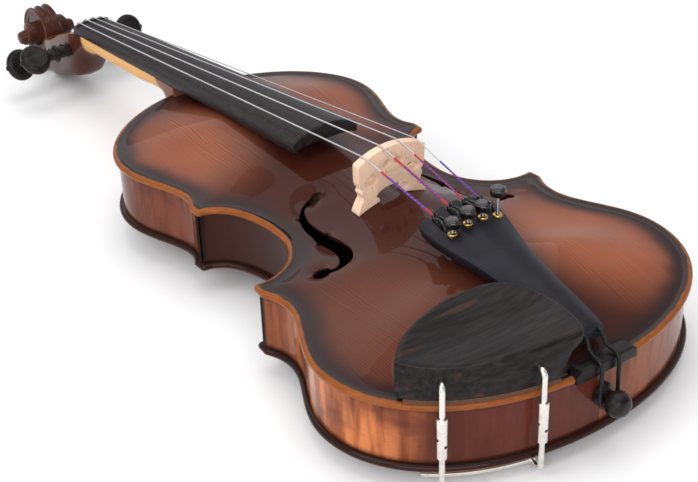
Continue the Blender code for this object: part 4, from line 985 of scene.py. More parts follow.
def make_back():
    """The back, with its round button under the heel."""
    treble = [p for p in EDGE_LINE if p[0] > BUTTON_RADIUS + 1.2 or p[1] < 178.0]
    treble.append((BUTTON_RADIUS + 0.6, BODY_LENGTH - 0.3))
    treble += arc((0.0, BUTTON_END - BUTTON_RADIUS), BUTTON_RADIUS, 8.0, 90.0, 12)
    shape = plate_shell(
        full_outline(treble), [], 4.2,
        lambda flat: BACK_BOTTOM - arch(flat, BACK_ARCH),
        lambda flat: BACK_TOP - hollow_depth(flat, BACK_ARCH),
        rim_profile(BACK_BOTTOM, BACK_TOP)[::-1])
    relax_arch(shape, 14.0)
    # The inner skin takes the near-black finish, painted shade seen through the f-holes.
    back = add_piece("back_plate", shape, [BACK_LACQUER, F_EDGE_AND_INNER_SHADE], "violin", ["back"])
    paint(back, "edge_mm", edge_distance)

    def wear(places):
        near = smooth(3.4, 1.8, edge_distance(places))
        return near * smooth(-36.2, -37.4, places[:, 2])

    paint(back, "wear", wear)


def lengthened(points, extra):
    """A stretch that runs straight on past its last point."""
    (ax, ay), (bx, by) = points[-2:]
    t = extra / math.dist(points[-2], points[-1])
    return points[:-1] + [(bx + (bx - ax) * t, by + (by - ay) * t)]


def trimmed(points, amount):
    """A stretch without its first millimetres."""
    while math.dist(points[0], points[1]) < amount:
        amount -= math.dist(points[0], points[1])
        points = points[1:]
    t = amount / math.dist(points[0], points[1])
    return [tuple(mix(a, b, t) for a, b in zip(points[0], points[1]))] + points[1:]


def rib_stretches():
    """Outer faces of the treble ribs. The bouts' ribs lap over the ends of the waist's."""
    lower, waist, upper = (offset(points, RIB_INSET) for points in half_segments(24))
    waist = trimmed(list(reversed(trimmed(waist, 2.4))), 2.4)
    heel = [p for p in upper if p[0] > 10.4]
    return {
        "lower": lengthened([(0.0, RIB_INSET)] + lower[1:], 2.1),
        "waist": list(reversed(waist)),
        "upper": list(reversed(lengthened(list(reversed(heel)), 2.1))),
    }


def rib_glow(bout, side, runs):
    """Where the shading of a rib thins, by the distance from its first end."""
    if bout == "lower":
        near_pin = 0.3 if side == TREBLE else 0.0
        return near_pin + smooth(78.0, 112.0, runs) * smooth(235.0, 165.0, runs)
    if bout == "waist":
        return 0.35 * smooth(50.0, 15.0, runs)
    return np.full(len(runs), 0.12)


def make_ribs():
    """Six bent strips. Each stretch of a strip ends in a dark line, but not at the endpin or the heel."""
    free_start = {"lower": 30.0, "waist": 0.0, "upper": 0.0}
    free_end = {"lower": 0.0, "waist": 0.0, "upper": 30.0}
    # painted_shade: how much painted shade darkens each rib's brown, most on the waist ribs.
    painted_shade = {"lower": 0.15, "waist": 0.85, "upper": 0.15}
    for bout, outer in rib_stretches().items():
        inner = offset(outer, RIB_THICK)
        along = runs_along(outer)
        runs = np.repeat(along, 5)
        ends = np.minimum(runs + free_start[bout], along[-1] - runs + free_end[bout])
        for side_name, side in SIDES.items():
            sections = []
            for (ox, oy), (ix, iy) in zip(outer, inner):
                section = [(side * ox, oy, z) for z in (BACK_TOP, RIB_MIDDLE, -EDGE)]
                sections.append(section + [(side * ix, iy, z) for z in (-EDGE, BACK_TOP)])
            name = f"rib_{bout}_{side_name}"
            rib = add_piece(
                f"{name}_strip", loft(sections), [RIB_LACQUER], "violin", [name])
            numbers = {
                "along_mm": runs + 40.0 * len(bout),
                "end_mm": ends,
                "glow": rib_glow(bout, side, runs),
                "dark": np.full(len(runs), painted_shade[bout]),
            }
            for number, values in numbers.items():
                paint(rib, number, lambda places, values=values: values)


def shade_inside_parts():
    """The hidden blocks, linings, bar and post keep their CAD shapes, and take the dark spruce as painted
    shade seen through the f-holes.
    """
    for name, node in frame["nodes"].items():
        if "block" in name or name.startswith("lining") or name in ("bass_bar", "sound_post"):
            node.data.materials.clear()
            node.data.materials.append(SHADED_SPRUCE)


# ---------------------------------------------------------------- neck and head

def neck_plane(y):
    """Height of the face that the fingerboard is glued to."""
    return NECK_PLANE_Z - NECK_SLOPE * (y - BODY_LENGTH)


def board_half_width(y):
    return mix(NUT_WIDTH / 2, BOARD_END_WIDTH / 2, (NUT_Y - y) / (NUT_Y - BOARD_END_Y))


def neck_rows():
    """Rows of y, half width at the top and at the bottom, top z, bottom z, and squareness."""
    foot = BACK_TOP
    rows = [
        (NECK_ROOT, 16.8, 10.6, neck_plane(NECK_ROOT), foot, 10.0),
        (BODY_LENGTH + 1.0, 16.4, 10.4, neck_plane(BODY_LENGTH), foot, 8.0),
        (BUTTON_END - 4.0, 16.1, 9.0, neck_plane(363.0), foot, 5.0),
        (BUTTON_END, 15.9, 7.6, neck_plane(367.0), foot + 3.5, 3.6),
        (370.0, 15.8, 8.5, neck_plane(370.0), -20.0, 2.8),
        (374.0, 15.5, 11.0, neck_plane(374.0), -14.0, 2.3),
        (380.0, 15.2, 13.0, neck_plane(380.0), -12.1, 2.1),
    ]
    for y, deep in ((400.0, 14.2), (430.0, 13.8), (460.0, 13.4), (478.0, 13.6)):
        half = board_half_width(y) - 0.1
        rows.append((y, half, half, neck_plane(y), neck_plane(y) - deep, 2.1))
    rows += [
        (484.0, 12.0, 11.8, neck_plane(484.0), -25.5, 2.3),
        (489.0, 12.3, 12.3, neck_plane(489.0), -33.0, 2.7),
        (493.0, 12.8, 12.6, neck_plane(493.0), -40.0, 3.2),
        (498.0, 13.3, 12.8, -11.8, -45.0, 4.0),
        (506.0, 13.3, 12.8, -14.8, -48.6, 5.0),
        (516.0, 12.8, 12.2, -19.2, -52.3, 6.0),
        (527.0, 12.0, 11.4, -25.5, -56.2, 6.0),
        (538.0, 11.0, 10.4, -31.0, -59.4, 6.0),
        (548.0, 9.8, 9.2, -33.5, -61.0, 6.0),
    ]
    return rows


def neck_ring(y, steps=36):
    """One section, with the two flutes that run along the back of the pegbox."""
    half_top, half_bottom, top, bottom, square = (
        float(table([(row[0], row[i]) for row in neck_rows()], np.array([y]))[0]) for i in range(1, 6))
    flute = 1.7 * float(smooth(494.0, 508.0, y))
    ring = []
    for k in range(steps + 1):
        angle = math.pi * k / steps
        deep = abs(math.sin(angle)) ** (2.0 / square)
        across = math.copysign(abs(math.cos(angle)) ** (2.0 / square), math.cos(angle))
        dip = flute * math.sin(math.pi * min(abs(across) / 0.82, 1.0)) ** 2 * float(smooth(0.8, 1.0, deep))
        ring.append((across * mix(half_top, half_bottom, deep), y, mix(top, bottom, deep) + dip))
    return ring


def make_neck():
    places = [NECK_ROOT, 353.0, 357.0, 360.0, 363.0, 365.0, 366.2, 367.0, 368.0, 369.0, 370.0, 371.5]
    places += [373.0, 375.0, 377.5, *range(380, 480, 7), *range(480, 549, 2)]
    stem = loft([neck_ring(y) for y in sorted(set(map(float, places)))])
    well = [(491.6, 4.0), (491.8, -12.0), (493.0, -24.0), (499.0, -33.0), (514.0, -43.0), (529.0, -50.5)]
    well += [(540.0, -54.0), (545.0, -50.0), (545.0, -36.0), (541.0, -20.0), (541.0, 4.0)]
    cavity = prism(well, -1.0, 1.0, "x")
    for corner in cavity.verts:
        corner.co.x *= mix(8.4, 6.2, (corner.co.y - 494.5) / 50.5)
    bores = [turned([(-20.0, PEG_RADIUS + 0.3), (20.0, PEG_RADIUS + 0.3)], 32, "x", (0.0, y, z))
             for _, y, z in PEG_PLACES.values()]
    neck = add_piece(
        "neck_and_pegbox", carve(stem, [cavity, *bores]), [HEAD_LACQUER], "violin", ["neck"],
        sharp=32.0)

    def wear(places):
        y, z = places[:, 1], places[:, 2]
        rows = np.array([(row[0], row[3]) for row in neck_rows()])
        top = np.interp(y, rows[:, 0], rows[:, 1])
        return smooth(0.9, 0.2, top - z) * smooth(488.0, 494.0, y)

    paint(neck, "wear", wear)
    make_scroll()


SPIRAL_RADII = [
    (-110, 24.6), (-90, 24.5), (0, 22.3), (90, 18.0), (180, 15.4), (270, 12.6), (360, 11.0), (450, 9.0),
    (540, 7.0), (630, 5.4), (720, 4.4)]
SPIRAL_WIDTHS = [
    (-110, 8.9), (-90, 8.5), (0, 7.0), (90, 6.4), (180, 7.2), (270, 9.6), (360, 12.2), (450, 14.6),
    (540, 16.8), (630, 18.8), (720, 20.6)]


def volute_ring(turn):
    """One section of the volute's band, at an angle in degrees."""
    radius = float(table(SPIRAL_RADII, turn)) - SPIRAL_TRIM
    half = float(table(SPIRAL_WIDTHS, turn))
    flute = min(1.7, 0.10 * radius) * float(smooth(560.0, 200.0, turn))
    crest = half - CHAMFER
    profile = [(half - 0.25, -5.2), (half - 0.7, -3.2), (half - 0.25, -CHAMFER - 0.5), (half, -CHAMFER),
               (half - CHAMFER * 0.35, -CHAMFER * 0.3), (crest, 0.0)]
    for i in range(1, 12):
        share = 1.0 - i / 6.0
        profile.append((share * crest, -flute * math.sin(math.pi * min(abs(share), 1.0)) ** 2))
    profile += [(-x, drop) for x, drop in reversed(profile[:6])]
    profile += [(-half * 0.6, -6.4), (half * 0.6, -6.4)]
    angle = math.radians(turn)
    ring = []
    for x, drop in profile:
        reach = max(radius + drop, 1.2)
        ring.append((x, SCROLL_EYE[0] + reach * math.cos(angle), SCROLL_EYE[1] + reach * math.sin(angle)))
    return ring


def scroll_wear(places):
    """1 along both edges of the volute, which the lacquer has worn from."""
    y, z = places[:, 1] - SCROLL_EYE[0], places[:, 2] - SCROLL_EYE[1]
    away = np.hypot(y, z)
    turns = np.degrees(np.arctan2(z, y))
    found = np.zeros(len(places))
    for lap in (-360.0, 0.0, 360.0, 720.0):
        at = turns + lap
        valid = (at > SPIRAL_SPAN[0] - 3.0) & (at < SPIRAL_SPAN[1] + 3.0)
        off_radius = np.abs(away - (table(SPIRAL_RADII, at) - CHAMFER / 2))
        off_width = np.abs(np.abs(places[:, 0]) - table(SPIRAL_WIDTHS, at))
        found = np.maximum(found, smooth(1.3, 0.5, off_radius + off_width) * valid)
    return found


def make_scroll():
    """The volute, one fluted band that winds inwards and grows wider turn by turn, and the eye."""
    turns = np.arange(SPIRAL_SPAN[0], SPIRAL_SPAN[1] + 1.0, SPIRAL_STEP)
    band = loft([volute_ring(float(turn)) for turn in turns])
    tip = SCROLL_HALF_WIDTH
    half_eye = [(0.0, 8.0), (7.0, 7.6), (14.0, 5.6), (tip - 1.4, 4.3), (tip - 0.4, 3.7), (tip, 2.4)]
    eye_rows = [(-x, radius) for x, radius in reversed(half_eye)] + half_eye[1:]
    eye = turned(eye_rows, 40, "x", (0.0, *SCROLL_EYE))
    core = turned([(-6.0, 15.0), (-5.0, 16.0), (5.0, 16.0), (6.0, 15.0)], 48, "x", (0.0, *SCROLL_EYE))
    scroll = add_piece(
        "scroll", merged(band, eye, core), [HEAD_LACQUER], "violin", sharp=35.0)
    paint(scroll, "wear", scroll_wear)


def board_drop(x):
    """How far the fingerboard's round top falls from its crown at x."""
    return BOARD_RADIUS - math.sqrt(BOARD_RADIUS**2 - x * x)


def board_section(y, sink=0.0, narrow=0.0):
    half = board_half_width(y) - narrow
    base = neck_plane(y) + 0.05
    crown = base + BOARD_EDGE + 0.25 + board_drop(half) - sink
    scoop = 1.6 * float(smooth(350.0, 330.0, y))
    ring = [(half - 0.6, y, base), (half - 0.15, y, base + 0.5), (half, y, base + 1.4)]
    ring.append((half, y, crown - board_drop(half) - 0.55))
    for i in range(21):
        x = (half - 0.35) * (1.0 - i / 10.0)
        ring.append((x, y, crown - board_drop(x)))
    ring += [(-x, y, z) for x, y, z in reversed(ring[:4])]
    ring += [(-half * 0.8, y, base + scoop), (-half * 0.4, y, base + scoop * 1.4)]
    ring += [(half * 0.4, y, base + scoop * 1.4), (half * 0.8, y, base + scoop)]
    return ring


def make_fingerboard():
    sections = [board_section(BOARD_END_Y, 1.1, 0.9), board_section(BOARD_END_Y + 0.3, 0.5, 0.4)]
    sections.append(board_section(BOARD_END_Y + 1.4))
    for y in (217.0, 230.0, 260.0, 300.0, 326.0, 334.0, 342.0, 352.0, 400.0, 450.0, NUT_Y - 0.05):
        sections.append(board_section(y))
    add_piece(
        "fingerboard_wood", loft(sections), [BOARD_EBONY], "violin", ["fingerboard"], sharp=30.0)


def nut_crown(x):
    """Height of the bottoms of the nut's grooves."""
    return neck_plane(NUT_Y) + BOARD_EDGE + 0.6 + board_drop(NUT_WIDTH / 2) - board_drop(x)


def make_nut():
    half = NUT_WIDTH / 2
    sections = []
    for run, sink in ((0.0, 0.25), (0.4, 0.0), (2.0, 0.0), (3.6, 0.45), (4.8, 1.3), (5.3, 2.3)):
        y = NUT_Y + run
        ring = [(half, y, neck_plane(y) + 0.1)]
        ring += [(x, y, nut_crown(x) + 0.3 - sink) for x in np.linspace(half - 0.1, -half + 0.1, 33)]
        ring.append((-half, y, neck_plane(y) + 0.1))
        sections.append(ring)
    add_piece("nut_wood", loft(sections), [TRIM_EBONY], "violin", ["nut"])


def make_pegs():
    """A tapered shaft with a turned collar, a thumb piece hollowed on both faces, and a pip."""
    for name, (side, y, z) in PEG_PLACES.items():
        rows = [(-15.5, PEG_RADIUS - 1.2), (-15.2, PEG_RADIUS - 0.6), (13.9, PEG_RADIUS)]
        rows += [(22.0, PEG_RADIUS + 0.3), (22.1, 5.2), (22.4, 5.75), (23.4, 6.0), (24.4, 5.75)]
        rows += [(24.8, 4.9), (25.2, 4.2), (26.6, 3.6), (28.4, 3.4), (30.4, 3.6), (32.5, 4.4)]
        shaft = turned([(side * t, r) for t, r in rows], 40, "x")
        head = bmesh.new()
        bmesh.ops.create_uvsphere(head, u_segments=48, v_segments=32, radius=1.0)
        for v in head.verts:
            across = math.hypot(v.co.x, v.co.y)
            thick = math.copysign(abs(v.co.z) ** 0.8, v.co.z)
            dish = 0.42 * max(0.0, 1.0 - (across / 0.78) ** 2)
            neckward = mix(1.0, 1.25, float(smooth(-0.3, -1.0, side * v.co.x)))
            v.co = (9.7 * v.co.x, 10.9 * v.co.y, 5.3 * thick * (1.0 - dish) * neckward)
            v.co.x += side * 38.5
        pip = ((47.6, 1.5), (48.3, 1.7), (49.0, 1.2), (49.2, 0.5))
        end = turned([(side * t, r) for t, r in pip], 20, "x")
        add_piece(
            f"peg_{name}_wood", merged(shaft, head, end), [PEG_EBONY], f"peg_{name}", [f"peg_{name}"],
            pivot=(0.0, y, z), turn=math.radians(PEG_TURN[name]))


# ---------------------------------------------------------------- strings and bridge

def fork_height(name):
    return tail_surface(TUNER_X[name], FORK_Y) + 1.4


def string_path(name):
    """From the winding on the peg, over the nut and the bridge, to the tuner's fork."""
    _, peg_y, peg_z = PEG_PLACES[name]
    radius = STRING_RADIUS[name]
    nut_x = NUT_STRING_X[name]
    nut_z = nut_crown(nut_x) + 0.3 + radius
    reach = PEG_RADIUS + 0.75
    tangent = math.radians(50.0)
    x = BRIDGE_STRING_X[name]
    return [
        (mix(nut_x, 0.0, 0.45), peg_y - reach * math.cos(tangent), peg_z + reach * math.sin(tangent)),
        (nut_x, NUT_Y + 5.8, nut_z - 1.2),
        (nut_x, NUT_Y + 3.2, nut_z - 0.15),
        (nut_x, NUT_Y + 0.6, nut_z),
        (x, BRIDGE_FRONT_Y + BRIDGE_TOP_THICK, BRIDGE_STRING_Z[name]),
        (x, BRIDGE_FRONT_Y - 0.4, BRIDGE_STRING_Z[name]),
        (TUNER_X[name], FORK_Y + 2.6, fork_height(name)),
    ]


def along_path(path, first_y, last_y):
    """The stretch of a path between two y places, in its own order of falling y."""
    points = []
    for (ax, ay, az), (bx, by, bz) in zip(path, path[1:]):
        for limit in (last_y, first_y):
            if by < limit < ay:
                t = (ay - limit) / (ay - by)
                points.append((mix(ax, bx, t), limit, mix(az, bz, t)))
        if first_y < by < last_y:
            points.append((bx, by, bz))
    return sorted(points, key=lambda p: -p[1])


def paint_around(piece, path):
    """Stores how far round its string each point lies, from 0 to 1, with the seam underneath."""
    rows = np.array(sorted(path, key=lambda p: p[1]))

    def share(places):
        x = places[:, 0] - np.interp(places[:, 1], rows[:, 1], rows[:, 0])
        z = places[:, 2] - np.interp(places[:, 1], rows[:, 1], rows[:, 2])
        return np.arctan2(x, z) / (2.0 * math.pi) + 0.5

    paint(piece, "around", share)


def make_strings():
    for name in STRING_NAMES:
        node = f"string_{name}"
        radius = STRING_RADIUS[name]
        path = string_path(name)
        wire = tube(path, radius, STRING_SIDES)
        add_piece(f"{node}_wire", wire, [STRING_METAL], "violin", [node])
        silk = along_path(path, FORK_Y + 2.65, SILK_END[name])
        make_silk(f"{node}_silk", silk, radius + SILK_WRAP, SILK[name])
        if name in HEAD_SILK:
            head = along_path(path, NUT_Y + 6.5, WHOLE_HEAD[1])
            head = [path[0]] + [p for p in head if p[1] < path[0][1]]
            make_silk(f"{node}_head_silk", head, radius + HEAD_SILK_WRAP, HEAD_SILK[name])
        make_coil(name, path[0][0])


def make_silk(name, path, radius, finish):
    piece = add_piece(name, tube(path, radius, STRING_SIDES), [finish], "violin")
    paint_around(piece, path)


def make_coil(name, start_x):
    """The string's turns round its peg, which turn with it."""
    side, peg_y, peg_z = PEG_PLACES[name]
    gauge = max(STRING_RADIUS[name], 0.42) + 0.04
    reach = PEG_RADIUS + 0.1 + gauge
    coil = []
    for i in range(COIL_TURNS * COIL_STEPS + 1):
        angle = math.radians(130.0) + 2.0 * math.pi * i / COIL_STEPS
        run = start_x + side * (0.05 - 0.9 * i / COIL_STEPS)
        coil.append((run, reach * math.cos(angle), reach * math.sin(angle)))
    add_piece(
        f"string_{name}_coil", tube(coil, gauge, 10), [HEAD_SILK.get(name, STRING_METAL)], f"peg_{name}",
        pivot=(0.0, peg_y, peg_z))


def bridge_half():
    """The bridge's face: treble half from the top of its arc down to the arch between the feet."""
    top = BRIDGE_STRING_Z["d"] - 0.35
    half = BRIDGE_HALF_WIDTH
    curve = [(x, top - board_drop(x)) for x in np.linspace(0.0, half - 1.0, 15)]
    side = curve[-1][1]
    curve += bezier(curve[-1], (half - 0.2, side - 0.15), (half + 0.1, side - 0.9), (half, side - 1.9), 4)
    curve += bezier(curve[-1], (half - 0.1, 31.0), (half - 0.1, 27.4), (19.7, 25.6), 8)
    curve += bezier(curve[-1], (19.4, 24.6), (18.3, 24.9), (18.5, 23.6), 5)
    curve += bezier(curve[-1], (18.7, 22.5), (19.6, 22.6), (18.8, 21.0), 4)
    curve += bezier(curve[-1], (18.2, 19.8), (17.3, 18.6), (18.2, 17.4), 5)
    foot = belly_top(21.0, BRIDGE_Y)
    curve += bezier(curve[-1], (19.0, 16.6), (20.6, foot + 2.8), (21.1, foot + 1.9), 5)
    curve += [(21.2, belly_top(21.2, BRIDGE_Y) + 0.45)]
    curve += [(x, belly_top(x, BRIDGE_Y) + 0.35) for x in (18.0, 14.0, 10.5)]
    curve += [(8.0, belly_top(8.0, BRIDGE_Y) + 0.4), (8.2, 15.6)]
    curve += bezier((8.2, 15.6), (8.6, 16.8), (9.8, 16.4), (10.2, 17.0), 4)
    curve += bezier((10.2, 17.0), (9.5, 20.2), (4.5, 21.4), (0.0, 21.4), 9)
    return [(float(x), float(z)) for x, z in curve]


def bridge_openings():
    """Two kidneys at the sides and the two lobes above them, all ovals that lean outwards."""
    holes = []
    for x, z, wide, tall, lean in ((12.8, 27.3, 4.1, 2.8, -0.10), (3.5, 34.2, 2.5, 2.1, -0.25)):
        oval = []
        for u, v in arc((0.0, 0.0), 1.0, 0.0, 348.0, 30):
            pinch = 1.0 - 0.22 * max(0.0, -v) * (1.0 - abs(u))
            oval.append((x + wide * u, z + tall * v * pinch + lean * wide * u))
        holes += [oval, mirrored(oval)]
    return holes


def make_bridge():
    outline = full_outline(bridge_half())
    front, back = [], []
    for x, z in outline:
        thick = mix(BRIDGE_FOOT_THICK, BRIDGE_TOP_THICK, (z - 12.0) / 31.0)
        front.append((x, BRIDGE_FRONT_Y, z))
        back.append((x, BRIDGE_FRONT_Y + thick, z))
    through = (150.0, 168.0)
    cutters = [prism(hole, *through, "y") for hole in bridge_openings()]
    for name in STRING_NAMES:
        groove = [(BRIDGE_STRING_X[name], y, BRIDGE_STRING_Z[name] + 0.1) for y in through]
        cutters.append(tube(groove, STRING_RADIUS[name] + 0.12, STRING_SIDES))
    shape = bevelled(carve(loft([front, back]), cutters), 0.28, 2, 50.0)
    add_piece("bridge_wood", shape, [BRIDGE_MAPLE], "violin", ["bridge"], sharp=30.0)


# ---------------------------------------------------------------- tailpiece

TAIL_WIDTHS = [(TAIL_END_Y, 9.5), (24.0, 10.8), (50.0, 12.4), (75.0, 16.0), (92.0, 20.4), (103.0, 21.8)]


def tail_half_width(y):
    rows = TAIL_WIDTHS + [(TAIL_TOP_Y, 20.4)]
    return float(np.interp(y, [row[0] for row in rows], [row[1] for row in rows]))


def tail_centre(y):
    """Height of the tailpiece's crown."""
    return mix(13.2, 34.0, (y - TAIL_END_Y) / (TAIL_TOP_Y - TAIL_END_Y))


def tail_sag(y):
    """How far the tailpiece's top falls from its crown to its sides."""
    return mix(4.0, 5.6, float(smooth(30.0, 95.0, y)))


def tail_surface(x, y):
    return tail_centre(y) - tail_sag(y) * (abs(x) / tail_half_width(y)) ** 2


def tail_thickness(y):
    return mix(5.0, 6.2, float(smooth(20.0, 90.0, y)))


def make_tailpiece():
    """A moulded plate: crowned top, rounded edges, and a slot for each tuner's lever."""
    widths = TAIL_WIDTHS[:-1] + [(99.0, 21.6), (103.0, 21.75), (106.0, 21.4), (TAIL_TOP_Y, 20.2)]
    sections = []
    ends = (11.0, 11.3, 12.0, 13.5, 17.0), (103.0, 105.0, 106.6, 107.9, 108.7, 109.0)
    for y in (*ends[0], *np.linspace(22.0, 100.0, 27), *ends[1]):
        half = float(table(widths, y))
        end = min(y - TAIL_END_Y, TAIL_TOP_Y - y)
        sink = 1.3 * (1.0 - math.sqrt(min(max(end / 2.2, 0.0), 1.0)))
        half -= 1.4 * sink
        ring = []
        for i in range(23):
            share = 1.0 - i / 11.0
            ring.append((half * share, y, tail_centre(y) - tail_sag(y) * share**2 - sink))
        thick = tail_thickness(y)
        low = ring[-1][2]
        ring += [(-half * 1.01, y, low - 0.6), (-half, y, low - 1.6)]
        for i in range(13):
            share = -(1.0 - i / 6.0)
            z = tail_surface(0.93 * half * share, y) - thick + sink
            ring.append((half * 0.94 * share, y, min(z, low - 1.7)))
        ring += [(half, y, low - 1.6), (half * 1.01, y, low - 0.6)]
        sections.append(ring)
    cutters = []
    for name in STRING_NAMES:
        x = TUNER_X[name]
        top = tail_surface(x, SCREW_Y)
        slot = [(x + dx, 94.8 + dy) for dx, dy in arc((0.0, 2.0), 1.9, 180.0, 360.0, 8)]
        slot += [(x + 1.9, TAIL_TOP_Y + 3.0), (x - 1.9, TAIL_TOP_Y + 3.0)]
        cutters.append(prism(slot, top - 18.0, top + 6.0))
        cutters.append(turned([(top - 18.0, 2.05), (top + 6.0, 2.05)], 28, "z", (x, SCREW_Y, 0.0)))
    for side in SIDES.values():
        place = (side * GUT_X, 0.0, tail_centre(TAIL_END_Y) - GUT_DROP)
        cutters.append(turned([(TAIL_END_Y - 2.0, 1.25), (TAIL_END_Y + 9.0, 1.25)], 20, "y", place))
    shape = bevelled(carve(loft(sections), cutters), 0.35, 2, 50.0)
    add_piece(
        "tailpiece_shell", shape, [TAIL_PLASTIC], "violin", ["tailpiece"], sharp=38.0)


def make_tuners():
    knob_rows = [(0.0, 2.4), (0.15, 3.1), (0.7, 3.75), (1.3, 3.9), (3.2, 3.9), (3.9, 3.7), (4.35, 3.1)]
    knob_rows += [(4.55, 2.0), (4.6, 0.6)]
    for name in STRING_NAMES:
        x = TUNER_X[name]
        top = tail_surface(x, SCREW_Y)
        deep = tail_thickness(SCREW_Y)
        rows = [(-deep - 0.6, 1.2), (-deep - 0.6, 2.0), (0.35, 2.0), (0.4, 2.3), (0.6, 2.55), (1.2, 2.55)]
        rows += [(1.5, 2.35), (1.7, 2.0), (1.75, 1.2)]
        ring = turned(rows, 36, "z", (x, SCREW_Y, top), hollow=True)
        node = f"tuner_insert_{name}"
        add_piece(f"{node}_ring", ring, [BRASS], "violin", [node])
        rise = 4.6 + (E_SCREW_EXTRA if name == "e" else 0.0)
        pivot = (x, SCREW_Y, top + rise)
        low = -deep - SCREW_REACH - rise
        rows = [(low, 0.5), (low + 0.4, 0.8)]
        at = low + 0.5
        while at < -0.6:
            rows += [(at, 0.80), (at + 0.25, 0.95)]
            at += 0.5
        rows.append((-0.3, 0.95))
        node = f"tuner_screw_{name}"
        thread = turned(rows, 20, "z")
        add_piece(f"{node}_thread", thread, [DARK_STEEL], node, [node], pivot=pivot, sharp=25.0)
        node = f"tuner_head_{name}"
        knob = turned(knob_rows, 80, "z", lobes=10, lobe_depth=0.022)
        add_piece(
            f"{node}_knob", knob, [GLOSS_PLASTIC], node, [node], pivot=pivot, sharp=60.0)
        make_lever(name)


def make_lever(name):
    """An L-shaped lever: a fork that holds the string stands up, and a foot lies under the screw."""
    x = TUNER_X[name]
    pivot_z = tail_surface(x, PIVOT_Y) - 3.4
    foot = tail_surface(x, SCREW_Y) - tail_thickness(SCREW_Y) - SCREW_REACH - 0.3 - pivot_z
    fork = fork_height(name) - STRING_RADIUS[name] - 0.3 - pivot_z
    back, front = SCREW_Y - 3.0 - PIVOT_Y, FORK_Y - PIVOT_Y
    outline = [(back, foot - 1.4), (2.4, foot - 1.4), (2.6, 0.0), (front + 1.6, fork - 1.2),
               (front + 1.6, fork), (front - 1.4, fork), (-1.6, 1.2), (-1.6, foot), (back, foot)]
    arm = bevelled(prism(outline, -1.5, 1.5, "x"), 0.35, 2)
    rods = []
    for side in SIDES.values():
        tip = [(side * 1.05, front + 0.3, fork - 0.4), (side * 1.1, front + 0.9, fork + 1.0),
               (side * 1.1, front + 1.3, fork + 1.9)]
        rods.append(tube(tip, [0.55, 0.5, 0.35], 12))
        hoop = [(-4.6, 1.0), (-3.6, 4.2), (-1.2, 6.0), (1.6, 6.2), (4.0, 5.0), (4.8, 3.6)]
        rods.append(tube(smooth_path([(side * 1.15, y, z) for y, z in hoop], 0.6), 0.6, 14))
    node = f"tuner_lever_{name}"
    add_piece(
        f"{node}_arm", merged(arm, *rods), [GLOSS_PLASTIC], node, [node],
        pivot=(x, PIVOT_Y, pivot_z))


def make_saddle():
    half = 18.2
    front = [(half, -EDGE), (half, 0.6), (half - 2.4, 2.0), (half - 4.0, 2.2)]
    front = [(-half, -EDGE), *front, *((-x, z) for x, z in reversed(front[1:]))]
    slab = bevelled(loft([[(x, y, z) for x, z in front] for y in (-0.3, 7.2)]), 0.6, 3, 35.0)
    add_piece("saddle_wood", slab, [TRIM_EBONY], "violin", ["saddle"])


def make_endpin():
    rows = [(16.0, 2.9), (2.3, 3.6), (2.25, 5.3), (2.0, 5.7), (1.4, 5.85), (0.8, 5.6), (0.3, 4.2)]
    rows += [(-0.4, 3.75), (-2.4, 3.55), (-3.6, 3.9), (-4.6, 5.2), (-6.0, 6.15), (-7.6, 6.45)]
    rows += [(-9.4, 6.35), (-11.2, 5.6), (-12.5, 4.5), (-13.1, 3.2), (-13.2, 3.0), (-13.2, 0.6)]
    shape = turned(rows, 48, "y", (0.0, 0.0, ENDPIN_Z))
    add_piece("endpin_wood", shape, [PEG_EBONY], "violin", ["endpin"])


def make_tailgut():
    """One cord: out of the tailpiece, over the saddle, round the endpin and back."""
    hole_z = tail_centre(TAIL_END_Y) - GUT_DROP
    half = [(GUT_X, TAIL_END_Y + 7.0, hole_z), (GUT_X, TAIL_END_Y - 1.6, hole_z), (5.0, 6.4, 5.2)]
    half += [(5.4, 3.0, 3.9), (5.4, -0.4, 3.4), (5.3, -1.7, 1.4), (5.2, -2.2, -6.0), (5.2, -2.2, ENDPIN_Z)]
    for i in range(1, 6):
        angle = math.pi * i / 10
        half.append((5.2 * math.cos(angle), -2.2, ENDPIN_Z - 5.2 * math.sin(angle)))
    path = half + [(-x, y, z) for x, y, z in reversed(half[:-1])]
    cord = tube(smooth_path(path, 0.9), 1.05, 16)
    add_piece("tailgut_cord", cord, [TAILGUT_NYLON], "violin", ["tailgut"])


# ---------------------------------------------------------------- chinrest

def bout_edge(inset, first_x, last_x, last_y):
    """The treble lower bout's edge moved inwards, between two x places and below a y place."""
    lower, _, _ = half_segments(FINE_STEPS)
    return [(x, y) for x, y in offset(lower, inset) if first_x < x < last_x and y < last_y]


def edge_band(line, width):
    """A strip inside an edge line, on the bass side: its outer line, then its inner one run back."""
    return [(-x, y) for x, y in line] + mirrored(offset(line, width))


def rest_outline():
    """Plan of the chinrest: a half moon whose lower side follows the edge of the belly."""
    points = mirrored(bout_edge(0.6, 13.0, LOWER_BOUT[0], 38.0))
    start = points[-1]
    points += bezier(start, (-8.5, start[1] + 1.5), (-6.4, 20.0), (-7.0, 30.0), 9)
    points += bezier((-7.0, 30.0), (-8.0, 44.0), (-14.0, 57.0), (-34.0, 57.6), 14)
    points += bezier((-34.0, 57.6), (-58.0, 58.2), (-78.0, 52.0), points[0], 18)[:-1]
    return points


def rest_top(flat):
    """The dished top: highest along the wall and the inner rim."""
    u = (flat[:, 0] + 50.0) / 44.0
    v = (flat[:, 1] - 33.0) / 24.0
    dish = np.clip(1.0 - u * u - v * v, 0.0, None)
    return REST_TOP + 1.4 * smooth(20.0, 55.0, flat[:, 1]) - 4.6 * dish


